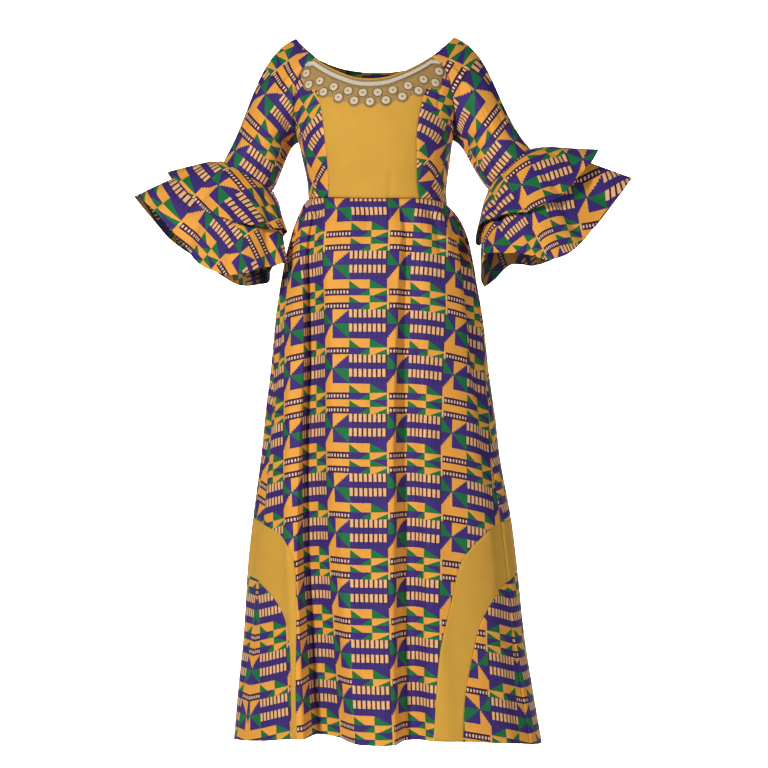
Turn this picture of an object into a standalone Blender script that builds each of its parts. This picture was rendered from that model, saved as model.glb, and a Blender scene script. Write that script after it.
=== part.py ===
"""Ankara wax print dress: a full-length dress with a plain yoke, print side fronts and back,
long sleeves that end in two tiers of flounce, a gathered skirt with an arched plain band over
each side of the hem, and a neck trim of lace, braid and rosettes.

Metres, +Z up. The front faces -Y and the wearer's left is +X. The origin is midway between the
two shoulder points, where the wearer carries the dress. Every piece is a thin wall of cloth,
lofted through sections of the worn dress, and each seam is a shared line that both of its
pieces stop short of.
"""
import math
from bisect import bisect_right
from collections import namedtuple

import bmesh
import bpy
import numpy as np
from mathutils import Matrix, Vector
from mathutils.geometry import delaunay_2d_cdt

# Cloth, seams and lays
CLOTH = 0.0015
SEAM_GAP = 0.0003
LAY_GAP = 0.0004
TRIM_THICK = 0.0008
BRAID_THICK = 0.0022

# Driving heights, measured down from the shoulder points
UNDERARM = -0.204
WAIST = -0.322
HEM = -1.374
WAIST_BLEND = 0.07

# Mesh fineness
ARMHOLE_ROWS = 6
WAIST_ROWS = 4
YOKE_COLUMNS = 10
SIDE_FRONT_COLUMNS = 5
BACK_COLUMNS = 16
NECK_EDGE_STEPS = 3
SLEEVE_ROWS = 8
FLOUNCE_STEPS = 36
LOWER_TIER_ROWS = 6
UPPER_TIER_ROWS = 4
SKIRT_LEVELS = (0.0, 0.018, 0.045, 0.085, 0.135, 0.2, 0.29, 0.38, 0.47, 0.56, 0.64, 0.72, 0.8,
                0.9, 1.0)
SKIRT_SPACING = 7.0
SKIRT_PLAN_ROWS = 12.0
SKIRT_PLAN_SLANT = 0.08
SKIRT_PLAN_MARGIN = 0.28
ARCH_STEPS = 9

# Bodice: one row for each level of the torso
Section = namedtuple("Section", "height half_width front back centre")
BODICE = (
    Section(-0.322, 0.1365, 0.108, 0.095, 0.004),
    Section(-0.290, 0.1365, 0.113, 0.096, 0.003),
    Section(-0.250, 0.1430, 0.122, 0.098, 0.002),
    Section(-0.204, 0.1515, 0.127, 0.102, 0.000),
    Section(-0.150, 0.1650, 0.120, 0.106, 0.000),
    Section(-0.100, 0.1720, 0.101, 0.104, 0.000),
    Section(-0.050, 0.1700, 0.076, 0.092, 0.000),
    Section(0.000, 0.1600, 0.040, 0.050, 0.000),
)
BODICE_ROUNDNESS = 2.3

# Skirt: one row for each level, with the sideways drift of the hem in the centre column
SKIRT = (
    Section(-1.374, 0.3020, 0.205, 0.225, 0.023),
    Section(-1.280, 0.2900, 0.200, 0.217, 0.019),
    Section(-1.170, 0.2757, 0.194, 0.208, 0.016),
    Section(-1.030, 0.2640, 0.187, 0.197, 0.013),
    Section(-0.937, 0.2530, 0.182, 0.190, 0.0125),
    Section(-0.820, 0.2345, 0.175, 0.180, 0.0095),
    Section(-0.740, 0.2260, 0.170, 0.174, 0.009),
    Section(-0.650, 0.2140, 0.163, 0.168, 0.008),
    Section(-0.549, 0.2035, 0.158, 0.161, 0.0075),
    Section(-0.484, 0.1930, 0.152, 0.153, 0.007),
    Section(-0.430, 0.1835, 0.146, 0.144, 0.0075),
    Section(-0.383, 0.1715, 0.138, 0.132, 0.0085),
    Section(-0.350, 0.1575, 0.127, 0.117, 0.0075),
    Section(-0.333, 0.1470, 0.118, 0.105, 0.005),
    Section(-0.322, 0.1365, 0.108, 0.095, 0.004),
)
SKIRT_ROUNDNESS = 2.1
ROUNDNESS_SETTLES = 0.33

# Edges and seams of the bodice, as angles round the torso from centre front or centre back
Edge = namedtuple("Edge", "angle height")
FRONT_NECK = (Edge(0, -0.0955), Edge(8, -0.0922), Edge(16, -0.0826), Edge(22.5, -0.0735),
              Edge(30, -0.0618), Edge(38.3, -0.0480))
BACK_NECK = (Edge(0, -0.0520), Edge(17, -0.0475), Edge(30, -0.0400), Edge(42.5, -0.0300))
FRONT_ARMHOLE = (Edge(38.3, -0.048), Edge(47, -0.0624), Edge(53.6, -0.0762), Edge(58, -0.095),
                 Edge(62, -0.1176), Edge(68, -0.1434), Edge(78, -0.1785), Edge(90, UNDERARM))
BACK_ARMHOLE = (Edge(42.5, -0.030), Edge(52, -0.050), Edge(59, -0.070), Edge(65, -0.100),
                Edge(71, -0.130), Edge(79, -0.165), Edge(90, UNDERARM))
YOKE_SEAM = (Edge(35.0, -0.050), Edge(33.8, -0.122), Edge(32.4, -0.160), Edge(32.7, -0.190),
             Edge(34.3, -0.250), Edge(37.0, WAIST))
WAIST_LINE = (Edge(0, -0.3245), Edge(45, -0.3235), Edge(90, -0.3285), Edge(135, -0.3255),
              Edge(180, -0.3225), Edge(225, -0.3200), Edge(270, -0.3165), Edge(315, -0.3195))
HEM_LINE = (Edge(0, -1.347), Edge(20, -1.340), Edge(45, -1.350), Edge(90, -1.374),
            Edge(180, -1.374), Edge(270, -1.374), Edge(310, -1.356), Edge(335, -1.341))

# Large folds of the skirt, each a hollow that runs from the waist to the hem. A fold that leans
# has a narrow first side and a wide second side, and it is tucked straight back
Fold = namedtuple("Fold", "at_waist at_hip at_knee at_hem half_waist half_hem depth_hip "
                          "depth_knee depth_hem lean")
FOLD_LEVELS = (0.0, 0.18, 0.52, 1.0)
FOLDS = (
    Fold(-48, -37, -31, -21.5, 9, 11, 0.026, 0.036, 0.056, 0.55),
    Fold(20, 16, 12, 9, 8, 7, 0.016, 0.025, 0.038, 0.50),
    Fold(70, 66, 64, 62, 8, 9, 0.014, 0.004, 0.004, 0.0),
    Fold(-69, -66, -66, -66, 7, 9, 0.006, 0.003, 0.004, 0.0),
    Fold(152, 154, 156, 158, 9, 11, 0.014, 0.022, 0.042, 0.0),
    Fold(190, 188, 187, 186, 8, 8, 0.007, 0.012, 0.022, 0.0),
    Fold(222, 219, 216, 213, 9, 11, 0.014, 0.020, 0.040, 0.0),
)
FOLD_SQUARENESS = 1.4
GATHERS = 17
GATHER_DEPTH = 0.0045
GATHER_TURN = 40
GATHER_START = 0.03
GATHER_REACH = 0.15
FOLD_COLUMNS = (-1.0, -0.62, -0.3, 0.0, 0.3, 0.62, 1.0)

# Side seams of the skirt, and the two edges of the arched band over each of them: a row for each
# place from the front hem over the side seam to the back hem, by angle from centre front and by
# share of the skirt's length. The row at the side seam's own angle is where front meets back
Place = namedtuple("Place", "angle share")
SIDE_SEAM_WAIST = 84.0
SIDE_SEAM_SETTLES = 0.625
LEFT_SEAM_HEM = 60.0
RIGHT_SEAM_HEM = 68.0
LEFT_ARCH_OUTER = (
    Place(29.2, 1.0), Place(30.6, 0.863), Place(32.0, 0.745), Place(33.1, 0.691),
    Place(36.2, 0.652), Place(45.5, 0.621), Place(LEFT_SEAM_HEM, 0.602), Place(75.0, 0.592),
    Place(90.0, 0.588), Place(104.0, 0.597), Place(116.0, 0.625), Place(124.0, 0.680),
    Place(129.0, 0.780), Place(134.0, 1.0),
)
LEFT_ARCH_INNER = (
    Place(32.0, 1.0), Place(33.0, 0.893), Place(34.2, 0.837), Place(38.4, 0.779),
    Place(47.0, 0.736), Place(LEFT_SEAM_HEM, 0.706), Place(75.0, 0.697), Place(90.0, 0.694),
    Place(101.0, 0.712), Place(111.0, 0.755), Place(117.0, 0.830), Place(122.5, 1.0),
)
RIGHT_ARCH_OUTER = (
    Place(18.6, 1.0), Place(23.6, 0.847), Place(29.8, 0.759), Place(35.1, 0.688),
    Place(41.5, 0.651), Place(55.0, 0.613), Place(RIGHT_SEAM_HEM, 0.594), Place(80.0, 0.585),
    Place(92.0, 0.581), Place(105.0, 0.590), Place(117.0, 0.620), Place(126.0, 0.680),
    Place(132.0, 0.780), Place(138.0, 1.0),
)
RIGHT_ARCH_INNER = (
    Place(30.0, 1.0), Place(33.5, 0.915), Place(39.4, 0.837), Place(45.8, 0.777),
    Place(59.0, 0.721), Place(RIGHT_SEAM_HEM, 0.703), Place(80.0, 0.688), Place(92.0, 0.684),
    Place(103.0, 0.700), Place(113.0, 0.750), Place(120.0, 0.830), Place(126.5, 1.0),
)

# Sleeves: the seam with the flounces, and how the cloth leaves the armhole
Cuff = namedtuple("Cuff", "shoulder outer inner radius_depth centre_depth")
LEFT_CUFF = Cuff((-0.157, 0.0, 0.002), (-0.2995, -0.241), (-0.2025, -0.299), 0.058, -0.010)
RIGHT_CUFF = Cuff((0.153, 0.0, 0.0), (0.3040, -0.223), (0.2210, -0.301), 0.058, -0.010)
Leave = namedtuple("Leave", "turn out depth down reach")
SLEEVE_LEAVE = (
    Leave(0, 0.080, 0.000, -0.030, 0.100),
    Leave(30, 0.075, 0.004, -0.022, 0.095),
    Leave(64, 0.060, 0.012, -0.008, 0.090),
    Leave(92, 0.052, 0.012, -0.012, 0.085),
    Leave(122, 0.046, 0.008, -0.030, 0.075),
    Leave(152, 0.033, 0.003, -0.022, 0.060),
    Leave(180, 0.022, 0.000, -0.004, 0.050),
    Leave(208, 0.033, -0.003, -0.022, 0.060),
    Leave(238, 0.046, -0.008, -0.030, 0.075),
    Leave(268, 0.052, -0.012, -0.012, 0.085),
    Leave(296, 0.060, -0.012, -0.008, 0.090),
    Leave(330, 0.075, -0.004, -0.022, 0.095),
)
NECK_EDGE_BULGE = 0.006

# Flounces: the free edge of the lower tier round the sleeve, from the outer side over the
# front, with the share of its depth that the upper tier covers and how far that stands off
Rim = namedtuple("Rim", "turn x y z share lift")
LEFT_RIM = (
    Rim(0, -0.477, 0.000, -0.311, 0.60, 0.010),
    Rim(22, -0.434, -0.055, -0.332, 0.60, 0.012),
    Rim(45, -0.375, -0.100, -0.397, 0.58, 0.010),
    Rim(68, -0.330, -0.132, -0.446, 0.56, 0.010),
    Rim(92, -0.281, -0.155, -0.468, 0.55, 0.012),
    Rim(116, -0.230, -0.160, -0.470, 0.57, 0.014),
    Rim(140, -0.187, -0.125, -0.452, 0.60, 0.008),
    Rim(162, -0.166, -0.098, -0.443, 0.62, 0.005),
    Rim(182, -0.184, -0.062, -0.450, 0.62, 0.005),
    Rim(206, -0.206, 0.005, -0.463, 0.60, 0.006),
    Rim(236, -0.236, 0.075, -0.475, 0.58, 0.010),
    Rim(268, -0.293, 0.120, -0.476, 0.57, 0.010),
    Rim(300, -0.372, 0.112, -0.425, 0.58, 0.012),
    Rim(328, -0.432, 0.082, -0.380, 0.60, 0.012),
)
RIGHT_RIM = (
    Rim(0, 0.494, 0.000, -0.284, 0.62, 0.024),
    Rim(25, 0.453, -0.060, -0.340, 0.60, 0.020),
    Rim(50, 0.410, -0.110, -0.401, 0.58, 0.012),
    Rim(74, 0.372, -0.145, -0.437, 0.56, 0.010),
    Rim(98, 0.335, -0.162, -0.446, 0.55, 0.010),
    Rim(122, 0.289, -0.160, -0.437, 0.56, 0.012),
    Rim(145, 0.245, -0.135, -0.427, 0.60, 0.010),
    Rim(165, 0.214, -0.088, -0.434, 0.62, 0.006),
    Rim(186, 0.203, -0.030, -0.462, 0.62, 0.006),
    Rim(208, 0.209, 0.035, -0.484, 0.60, 0.008),
    Rim(226, 0.231, 0.072, -0.470, 0.58, 0.010),
    Rim(244, 0.260, 0.098, -0.442, 0.57, 0.010),
    Rim(268, 0.308, 0.120, -0.441, 0.57, 0.010),
    Rim(298, 0.364, 0.122, -0.418, 0.58, 0.012),
    Rim(328, 0.434, 0.086, -0.362, 0.60, 0.016),
)
FLARE = 52.0
FLARE_REACH = 0.045
RIM_REACH = 0.055
RIM_DROOP = 0.25
UPPER_TIER_START = 0.02
UPPER_TIER_STAND = 0.004
UPPER_TIER_STAND_BY = 0.33
RUFFLES = 5
RUFFLE_DEPTH = 0.007
LEFT_RUFFLE_TURN = 20
RIGHT_RUFFLE_TURN = 75

# Neck trim, braid and rosettes, measured down from the neck edge
TRIM_DROP = 0.0185
TRIM_END_SHARE = 0.5
BRAID_TOP_SHARE = 0.50
BRAID_BOTTOM_SHARE = 0.94
ROSETTE_RADIUS = 0.0088
ROSETTE_DOME = 0.0012
ROSETTE_BEAD = 0.0030
ROSETTE_SIDES = 10
ROSETTE_SEAT_SHARE = 0.34
ROSETTE_SEAT_RISE = 0.0018
RosetteRow = namedtuple("RosetteRow", "count first last height rise")
ROSETTE_ROWS = (
    RosetteRow(10, -0.1275, 0.1275, -0.1255, 2.85),
    RosetteRow(9, -0.1210, 0.1210, -0.1430, 2.75),
)

# Finishes
Finish = namedtuple("Finish", "colour roughness metallic")
PRINT = Finish((0.18, 0.10, 0.28), 0.75, 0.0)
GOLD_CLOTH = Finish((0.67, 0.37, 0.05), 0.65, 0.0)
LACE = Finish((0.42, 0.30, 0.12), 0.6, 0.2)
IVORY = Finish((0.75, 0.62, 0.44), 0.6, 0.0)
BEAD = Finish((0.78, 0.66, 0.46), 0.35, 0.0)


def curve_value(places, values, at):
    """Value on a smooth curve through the given places, held level past either end."""
    at = min(max(at, places[0]), places[-1])
    i = min(max(bisect_right(places, at) - 1, 0), len(places) - 2)

    def slope(k):
        low = max(k - 1, 0)
        high = min(k + 1, len(places) - 1)
        return (values[high] - values[low]) / (places[high] - places[low])

    step = places[i + 1] - places[i]
    t = (at - places[i]) / step
    start = values[i] * (2 * t ** 3 - 3 * t ** 2 + 1) + slope(i) * step * (t ** 3 - 2 * t ** 2 + t)
    end = values[i + 1] * (3 * t ** 2 - 2 * t ** 3) + slope(i + 1) * step * (t ** 3 - t ** 2)
    return start + end


def round_value(places, values, at, turn=360.0):
    """Value on a smooth closed curve round a ring of one turn."""
    n = len(places)
    around = [places[k % n] + turn * (k // n) for k in range(-2, n + 2)]
    wrapped = [values[k % n] for k in range(-2, n + 2)]
    return curve_value(around, wrapped, (at - places[0]) % turn + places[0])


def column(table, name):
    return [getattr(row, name) for row in table]


def smooth_step(t):
    t = min(max(t, 0.0), 1.0)
    return t * t * (3 - 2 * t)


def unit(vector):
    return vector / max(np.linalg.norm(vector), 1e-12)


def section_at(table, height):
    """The torso or skirt section at a height, from a table that may run up or down."""
    rows = sorted(table, key=lambda row: row.height)
    heights = column(rows, "height")
    return Section(height, *(curve_value(heights, column(rows, name), height)
                             for name in Section._fields[1:]))


def ring_point(section, angle, roundness, height):
    """Point of a rounded ring; the angle runs from centre front towards +X."""
    s = math.sin(math.radians(angle))
    c = math.cos(math.radians(angle))
    x = section.centre + section.half_width * math.copysign(abs(s) ** (2 / roundness), s)
    depth = section.front if c > 0 else section.back
    y = -depth * math.copysign(abs(c) ** (2 / roundness), c)
    return np.array((x, y, height))


def waist_height(angle):
    return round_value(column(WAIST_LINE, "angle"), column(WAIST_LINE, "height"), angle)


def hem_height(angle):
    return round_value(column(HEM_LINE, "angle"), column(HEM_LINE, "height"), angle)


def bodice_point(angle, level):
    """Point of the bodice; level is its height before the waist line's own rise and fall."""
    blend = smooth_step((WAIST + WAIST_BLEND - level) / WAIST_BLEND)
    height = level + (waist_height(angle) - WAIST) * blend
    return ring_point(section_at(BODICE, level), angle, BODICE_ROUNDNESS, height)


def bodice_normal(angle, level):
    """Unit normal of the bodice, away from the wearer."""
    across = bodice_point(angle + 0.5, level) - bodice_point(angle - 0.5, level)
    upward = bodice_point(angle, level + 0.001) - bodice_point(angle, level - 0.001)
    return unit(np.cross(across, upward))


def fold_shape(t):
    """Hollow of a fold across its width: round at the bottom, with soft lips."""
    if abs(t) >= 1:
        return 0.0
    return 0.5 * (1 + math.cos(math.pi * abs(t) ** FOLD_SQUARENESS))


def fold_centre(fold, share):
    return curve_value(FOLD_LEVELS, (fold.at_waist, fold.at_hip, fold.at_knee, fold.at_hem), share)


def fold_half(fold, share):
    return fold.half_waist + (fold.half_hem - fold.half_waist) * share


def fold_side(fold, away):
    """Share of the half width that a fold has on one side of its bottom."""
    return 1 - fold.lean if away < 0 else 1 + fold.lean


def fold_depth(angle, share):
    """How far the skirt lies behind its plain ring, from all folds and the waist gathers, and how
    far it is tucked straight back by the folds that lean."""
    depth = 0.0
    tucked = 0.0
    for fold in FOLDS:
        centre = fold_centre(fold, share)
        half = fold_half(fold, share)
        deep = curve_value(FOLD_LEVELS, (0.0, fold.depth_hip, fold.depth_knee, fold.depth_hem),
                           share)
        away = (angle - centre + 180) % 360 - 180
        hollow = deep * fold_shape(away / (half * fold_side(fold, away)))
        if fold.lean:
            tucked += hollow
        else:
            depth += hollow
    rise = smooth_step(share / GATHER_START) * (1 - smooth_step(share / GATHER_REACH))
    depth += GATHER_DEPTH * rise * (1 + math.cos(math.radians(GATHERS * angle + GATHER_TURN)))
    return depth, tucked


def skirt_plain_point(angle, share):
    top = waist_height(angle)
    height = top + (hem_height(angle) - top) * share
    level = WAIST + (HEM - WAIST) * share
    settled = smooth_step(share / ROUNDNESS_SETTLES)
    roundness = BODICE_ROUNDNESS + (SKIRT_ROUNDNESS - BODICE_ROUNDNESS) * settled
    return ring_point(section_at(SKIRT, level), angle, roundness, height)


def level_outward(surface, angle, share):
    """Horizontal direction away from the wearer on a ring of the surface."""
    along = surface(angle + 0.5, share) - surface(angle - 0.5, share)
    return unit(np.array((-along[1], along[0], 0.0))) * -1.0


def skirt_point(angle, share):
    plain = skirt_plain_point(angle, share)
    depth, tucked = fold_depth(angle, share)
    inward = -level_outward(skirt_plain_point, angle, share) * depth
    return plain + inward + np.array((0.0, tucked, 0.0))


def skirt_normal(angle, share):
    low = max(share - 0.004, 0.0)
    high = min(share + 0.004, 1.0)
    across = skirt_point(angle + 0.4, share) - skirt_point(angle - 0.4, share)
    down = skirt_point(angle, high) - skirt_point(angle, low)
    normal = unit(np.cross(down, across))
    level = level_outward(skirt_plain_point, angle, share)
    return normal if normal @ level > 0 else -normal


def lines_at(edges, level):
    """Angle of a seam that is given by heights, at one height."""
    rows = sorted(edges, key=lambda row: row.height)
    return curve_value(column(rows, "height"), column(rows, "angle"), level)


def mirrored_value(edges, angle):
    """Height of an even edge that is given from its middle to one end."""
    places = [-row.angle for row in edges[:0:-1]] + column(edges, "angle")
    heights = [row.height for row in edges[:0:-1]] + column(edges, "height")
    return curve_value(places, heights, angle)


def front_neck_level(angle):
    return mirrored_value(FRONT_NECK, angle)


def back_neck_level(angle):
    return mirrored_value(BACK_NECK, angle % 360 - 180)


def row_levels(top, edge_top):
    """Levels of the rows below a neck height: the depth of the trim, then even rows to the
    underarm and to the waist, counted on the edge of the piece that has the armhole."""
    trimmed = edge_top - TRIM_DROP
    underarm = (trimmed - UNDERARM) / (trimmed - WAIST)
    shares = [underarm * k / (ARMHOLE_ROWS - 1) for k in range(ARMHOLE_ROWS - 1)]
    shares += [underarm + (1 - underarm) * k / WAIST_ROWS for k in range(WAIST_ROWS + 1)]
    return [top] + [top - TRIM_DROP + (WAIST - top + TRIM_DROP) * share for share in shares]


def armhole_angle(edges, level):
    return 90.0 if level <= UNDERARM else lines_at(edges, level)


class Panel:
    """A piece of cloth: a grid of outer points with the direction away from the wearer."""

    def __init__(self, points, normals):
        self.points = np.array(points)
        self.normals = np.array(normals)

    def drawn_in(self, distance, bottom=False, first=False, last=False):
        """Move chosen edges in along the cloth, square to the edge."""
        source = self.points.copy()
        rows, columns = source.shape[:2]
        if bottom:
            self.draw(source, [(rows - 1, j) for j in range(columns)], (-1, 0), distance)
        if first:
            self.draw(source, [(i, 0) for i in range(rows)], (0, 1), distance)
        if last:
            self.draw(source, [(i, columns - 1) for i in range(rows)], (0, -1), distance)

    def draw(self, source, places, inner, distance):
        line = [source[place] for place in places]
        for k, (i, j) in enumerate(places):
            along = line[min(k + 1, len(line) - 1)] - line[max(k - 1, 0)]
            square = unit(np.cross(self.normals[i, j], along))
            if square @ (source[i + inner[0], j + inner[1]] - source[i, j]) < 0:
                square = -square
            self.points[i, j] += square * distance


def empty_panel(rows, columns):
    return Panel(np.zeros((rows, columns, 3)), np.zeros((rows, columns, 3)))


def wall_mesh(name, panel, thickness, closed=False):
    """Closed wall of even thickness behind a panel's points, every quad split the same way."""
    outer = panel.points
    inner = panel.points - panel.normals * thickness
    rows, columns = outer.shape[:2]
    shell = bmesh.new()
    known = {}

    def vertex(point):
        key = tuple(np.round(point, 7))
        if key not in known:
            known[key] = shell.verts.new(point)
        return known[key]

    def face(*corners):
        unique = []
        for corner in corners:
            if corner not in unique:
                unique.append(corner)
        if len(unique) == 3 and shell.faces.get(unique) is None:
            shell.faces.new(unique)

    def quad(a, b, c, d):
        face(a, b, c)
        face(a, c, d)

    front = [[vertex(outer[i, j]) for j in range(columns)] for i in range(rows)]
    back = [[vertex(inner[i, j]) for j in range(columns)] for i in range(rows)]
    spans = columns if closed else columns - 1
    for i in range(rows - 1):
        for j in range(spans):
            k = (j + 1) % columns
            quad(front[i][j], front[i + 1][j], front[i + 1][k], front[i][k])
            quad(back[i][j], back[i][k], back[i + 1][k], back[i + 1][j])
    for j in range(spans):
        k = (j + 1) % columns
        quad(front[0][j], front[0][k], back[0][k], back[0][j])
        quad(front[-1][j], back[-1][j], back[-1][k], front[-1][k])
    if not closed:
        for i in range(rows - 1):
            quad(front[i][0], back[i][0], back[i + 1][0], front[i + 1][0])
            quad(front[i][-1], front[i + 1][-1], back[i + 1][-1], back[i][-1])
    bmesh.ops.recalc_face_normals(shell, faces=shell.faces)
    mesh = bpy.data.meshes.new(name)
    shell.to_mesh(mesh)
    shell.free()
    return mesh


def material_for(name, finish):
    material = bpy.data.materials.new(name)
    material.use_nodes = True
    shader = material.node_tree.nodes["Principled BSDF"]
    shader.inputs["Base Color"].default_value = (*finish.colour, 1.0)
    shader.inputs["Roughness"].default_value = finish.roughness
    shader.inputs["Metallic"].default_value = finish.metallic
    material.diffuse_color = (*finish.colour, 1.0)
    return material


def add_piece(name, mesh, finish, collection):
    mesh.materials.append(material_for(name + "_finish", finish))
    mesh.shade_smooth()
    mesh.set_sharp_from_angle(angle=math.radians(40))
    piece = bpy.data.objects.new(name, mesh)
    collection.objects.link(piece)
    return piece


def sleeve_loop(side, armholes):
    """Top edge of a sleeve: neck edge, front armhole, underarm, back armhole, neck edge."""
    cuff = LEFT_CUFF if side < 0 else RIGHT_CUFF
    apex = np.array(cuff.shoulder)
    front, back = armholes

    def neck_edge(corner):
        middle = (apex + corner) / 2 + np.array((side, 0.0, 0.5)) * NECK_EDGE_BULGE
        control = 2 * middle - (apex + corner) / 2
        shares = [k / NECK_EDGE_STEPS for k in range(NECK_EDGE_STEPS)]
        return [apex * (1 - t) ** 2 + control * 2 * t * (1 - t) + corner * t * t for t in shares]

    loop = neck_edge(front[0]) + list(front) + list(back[-2::-1])
    loop += neck_edge(back[0])[:0:-1]
    return loop


def loop_turns(loop, underarm):
    """Turn in degrees for each loop point, by length along the front half and the back half."""
    def half(points, start, end):
        lengths = [0.0]
        for p, q in zip(points, points[1:]):
            lengths.append(lengths[-1] + np.linalg.norm(q - p))
        return [start + (end - start) * length / lengths[-1] for length in lengths]

    front = half(loop[:underarm + 1], 0.0, 180.0)
    back = half(loop[underarm:] + loop[:1], 180.0, 360.0)
    return front + back[1:-1]


def cuff_frame(side):
    """Centre, outward direction and axis of the seam between sleeve and flounces."""
    cuff = LEFT_CUFF if side < 0 else RIGHT_CUFF
    outer = np.array((cuff.outer[0], cuff.centre_depth, cuff.outer[1]))
    inner = np.array((cuff.inner[0], cuff.centre_depth, cuff.inner[1]))
    spread = (outer - inner) / 2
    axis = unit(np.cross(np.array((0.0, 1.0, 0.0)), spread)) * side
    if axis[2] > 0:
        axis = -axis
    return (outer + inner) / 2, spread, axis, cuff.radius_depth


def cuff_point(side, turn):
    centre, spread, _, depth = cuff_frame(side)
    angle = math.radians(turn)
    return centre + spread * math.cos(angle) - np.array((0.0, depth, 0.0)) * math.sin(angle)


def cuff_radial(side, turn):
    centre, spread, _, depth = cuff_frame(side)
    angle = math.radians(turn)
    radial = unit(spread) * math.cos(angle) / np.linalg.norm(spread)
    return unit(radial - np.array((0.0, 1.0, 0.0)) * math.sin(angle) / depth)


def bezier(p0, p1, p2, p3, t):
    return (p0 * (1 - t) ** 3 + p1 * 3 * t * (1 - t) ** 2 + p2 * 3 * t * t * (1 - t) + p3 * t ** 3)


def sleeve_points(side, loop, turns):
    """Rows of the sleeve from the loop to the cuff, one column for each loop point."""
    _, _, axis, _ = cuff_frame(side)
    places = column(SLEEVE_LEAVE, "turn")
    rows = []
    for row in range(SLEEVE_ROWS + 1):
        t = row / SLEEVE_ROWS
        line = []
        for start, turn in zip(loop, turns):
            out, depth, down, reach = (round_value(places, column(SLEEVE_LEAVE, name), turn)
                                       for name in Leave._fields[1:])
            leave = np.array((out * side, depth, down))
            end = cuff_point(side, turn)
            line.append(bezier(start, start + leave, end - axis * reach, end, t))
        rows.append(line)
    return np.array(rows)


def tube_normals(points, middle):
    """Outward normals of a tube of points, each row closed on itself."""
    rows, columns = points.shape[:2]
    normals = np.zeros_like(points)
    for i in range(rows):
        for j in range(columns):
            across = points[i, (j + 1) % columns] - points[i, j - 1]
            down = points[min(i + 1, rows - 1), j] - points[max(i - 1, 0), j]
            normals[i, j] = unit(np.cross(down, across))
    probe = rows // 2
    inward = normals[probe, 0] @ (points[probe, 0] - middle[probe]) < 0
    return -normals if inward else normals


def mitred(first, second):
    """Shared direction of two walls that meet at an edge, long enough to keep their thickness."""
    middle = unit(first + second)
    return middle / max(middle @ unit(first), 0.7)


def armhole_line(edges, side, back):
    """Angles and levels of an armhole seam from the neck edge to the underarm."""
    top = edges[0].height
    levels = row_levels(top, top)[:ARMHOLE_ROWS + 1]
    return [(on_side(armhole_angle(edges, level), side, back), level) for level in levels]


def build_sleeves():
    """Both sleeves as panels, and the shared directions of their armhole seams."""
    sleeves = {}
    seam_normals = {}
    underarm = NECK_EDGE_STEPS + ARMHOLE_ROWS
    for side in (-1, 1):
        lines = (armhole_line(FRONT_ARMHOLE, side, False), armhole_line(BACK_ARMHOLE, side, True))
        armholes = [[bodice_point(*place) for place in line] for line in lines]
        loop = sleeve_loop(side, armholes)
        turns = loop_turns(loop, underarm)
        points = sleeve_points(side, loop, turns)
        normals = tube_normals(points, points.mean(axis=1))
        for back, line in zip((False, True), lines):
            shared = []
            for k, place in enumerate(line):
                index = NECK_EDGE_STEPS + k if not back else underarm + ARMHOLE_ROWS - k
                if k < ARMHOLE_ROWS or not back:
                    normals[0, index] = mitred(normals[0, index], bodice_normal(*place))
                shared.append(normals[0, index])
            seam_normals[side, back] = shared
        for j, turn in enumerate(turns):
            normals[-1, j] = cuff_radial(side, turn)
        sleeves[side] = Panel(points, normals)
    return sleeves, seam_normals


def close_edges(panel, distance, rows):
    """Draw the ends of a tube panel in along its own length."""
    for row in rows:
        step = 1 if row == 0 else -1
        inside = panel.points[row + step]
        for j in range(panel.points.shape[1]):
            panel.points[row, j] += unit(inside[j] - panel.points[row, j]) * distance


def bodice_panel(columns, edges_at, neck_level, edge_top, seam_sides):
    """Panel of the bodice between two seams; seam_sides maps a column to its armhole's key."""
    count = len(row_levels(edge_top, edge_top))
    panel = empty_panel(count, columns + 1)
    for i in range(count):
        for j in range(columns + 1):
            level = edge_top
            for _ in range(8):
                first, last = edges_at(level)
                angle = first + (last - first) * j / columns
                level = row_levels(neck_level(angle), edge_top)[i]
            normal = bodice_normal(angle, level)
            if i == count - 1:
                normal = level_outward(skirt_plain_point, angle, 0.0)
            if j in seam_sides and i <= ARMHOLE_ROWS:
                normal = seam_sides[j][i]
            panel.points[i, j] = bodice_point(angle, level)
            panel.normals[i, j] = normal
    return panel


def build_bodice(seam_normals):
    """Yoke, two side fronts and the back, before their edges are drawn in."""
    front_top = FRONT_NECK[-1].height
    back_top = BACK_NECK[-1].height

    def yoke_edges(level):
        edge = lines_at(YOKE_SEAM, level)
        return -edge, edge

    def left_edges(level):
        return -armhole_angle(FRONT_ARMHOLE, level), -lines_at(YOKE_SEAM, level)

    def right_edges(level):
        return lines_at(YOKE_SEAM, level), armhole_angle(FRONT_ARMHOLE, level)

    def back_edges(level):
        edge = armhole_angle(BACK_ARMHOLE, level)
        return 180 - edge, 180 + edge

    return {
        "front_yoke": bodice_panel(YOKE_COLUMNS, yoke_edges, front_neck_level, front_top, {}),
        "side_front_left": bodice_panel(SIDE_FRONT_COLUMNS, left_edges, front_neck_level,
                                        front_top, {0: seam_normals[-1, False]}),
        "side_front_right": bodice_panel(SIDE_FRONT_COLUMNS, right_edges, front_neck_level,
                                         front_top, {SIDE_FRONT_COLUMNS: seam_normals[1, False]}),
        "back_bodice": bodice_panel(BACK_COLUMNS, back_edges, back_neck_level, back_top,
                                    {0: seam_normals[1, True],
                                     BACK_COLUMNS: seam_normals[-1, True]}),
    }


def side_seam_angle(share, side):
    low = LEFT_SEAM_HEM if side < 0 else RIGHT_SEAM_HEM
    return SIDE_SEAM_WAIST + (low - SIDE_SEAM_WAIST) * smooth_step(share / SIDE_SEAM_SETTLES)


def on_side(angle, side, back):
    """Angle round the body for a place given from centre front, or from centre back."""
    return side * angle if not back else 180 - side * angle


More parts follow.
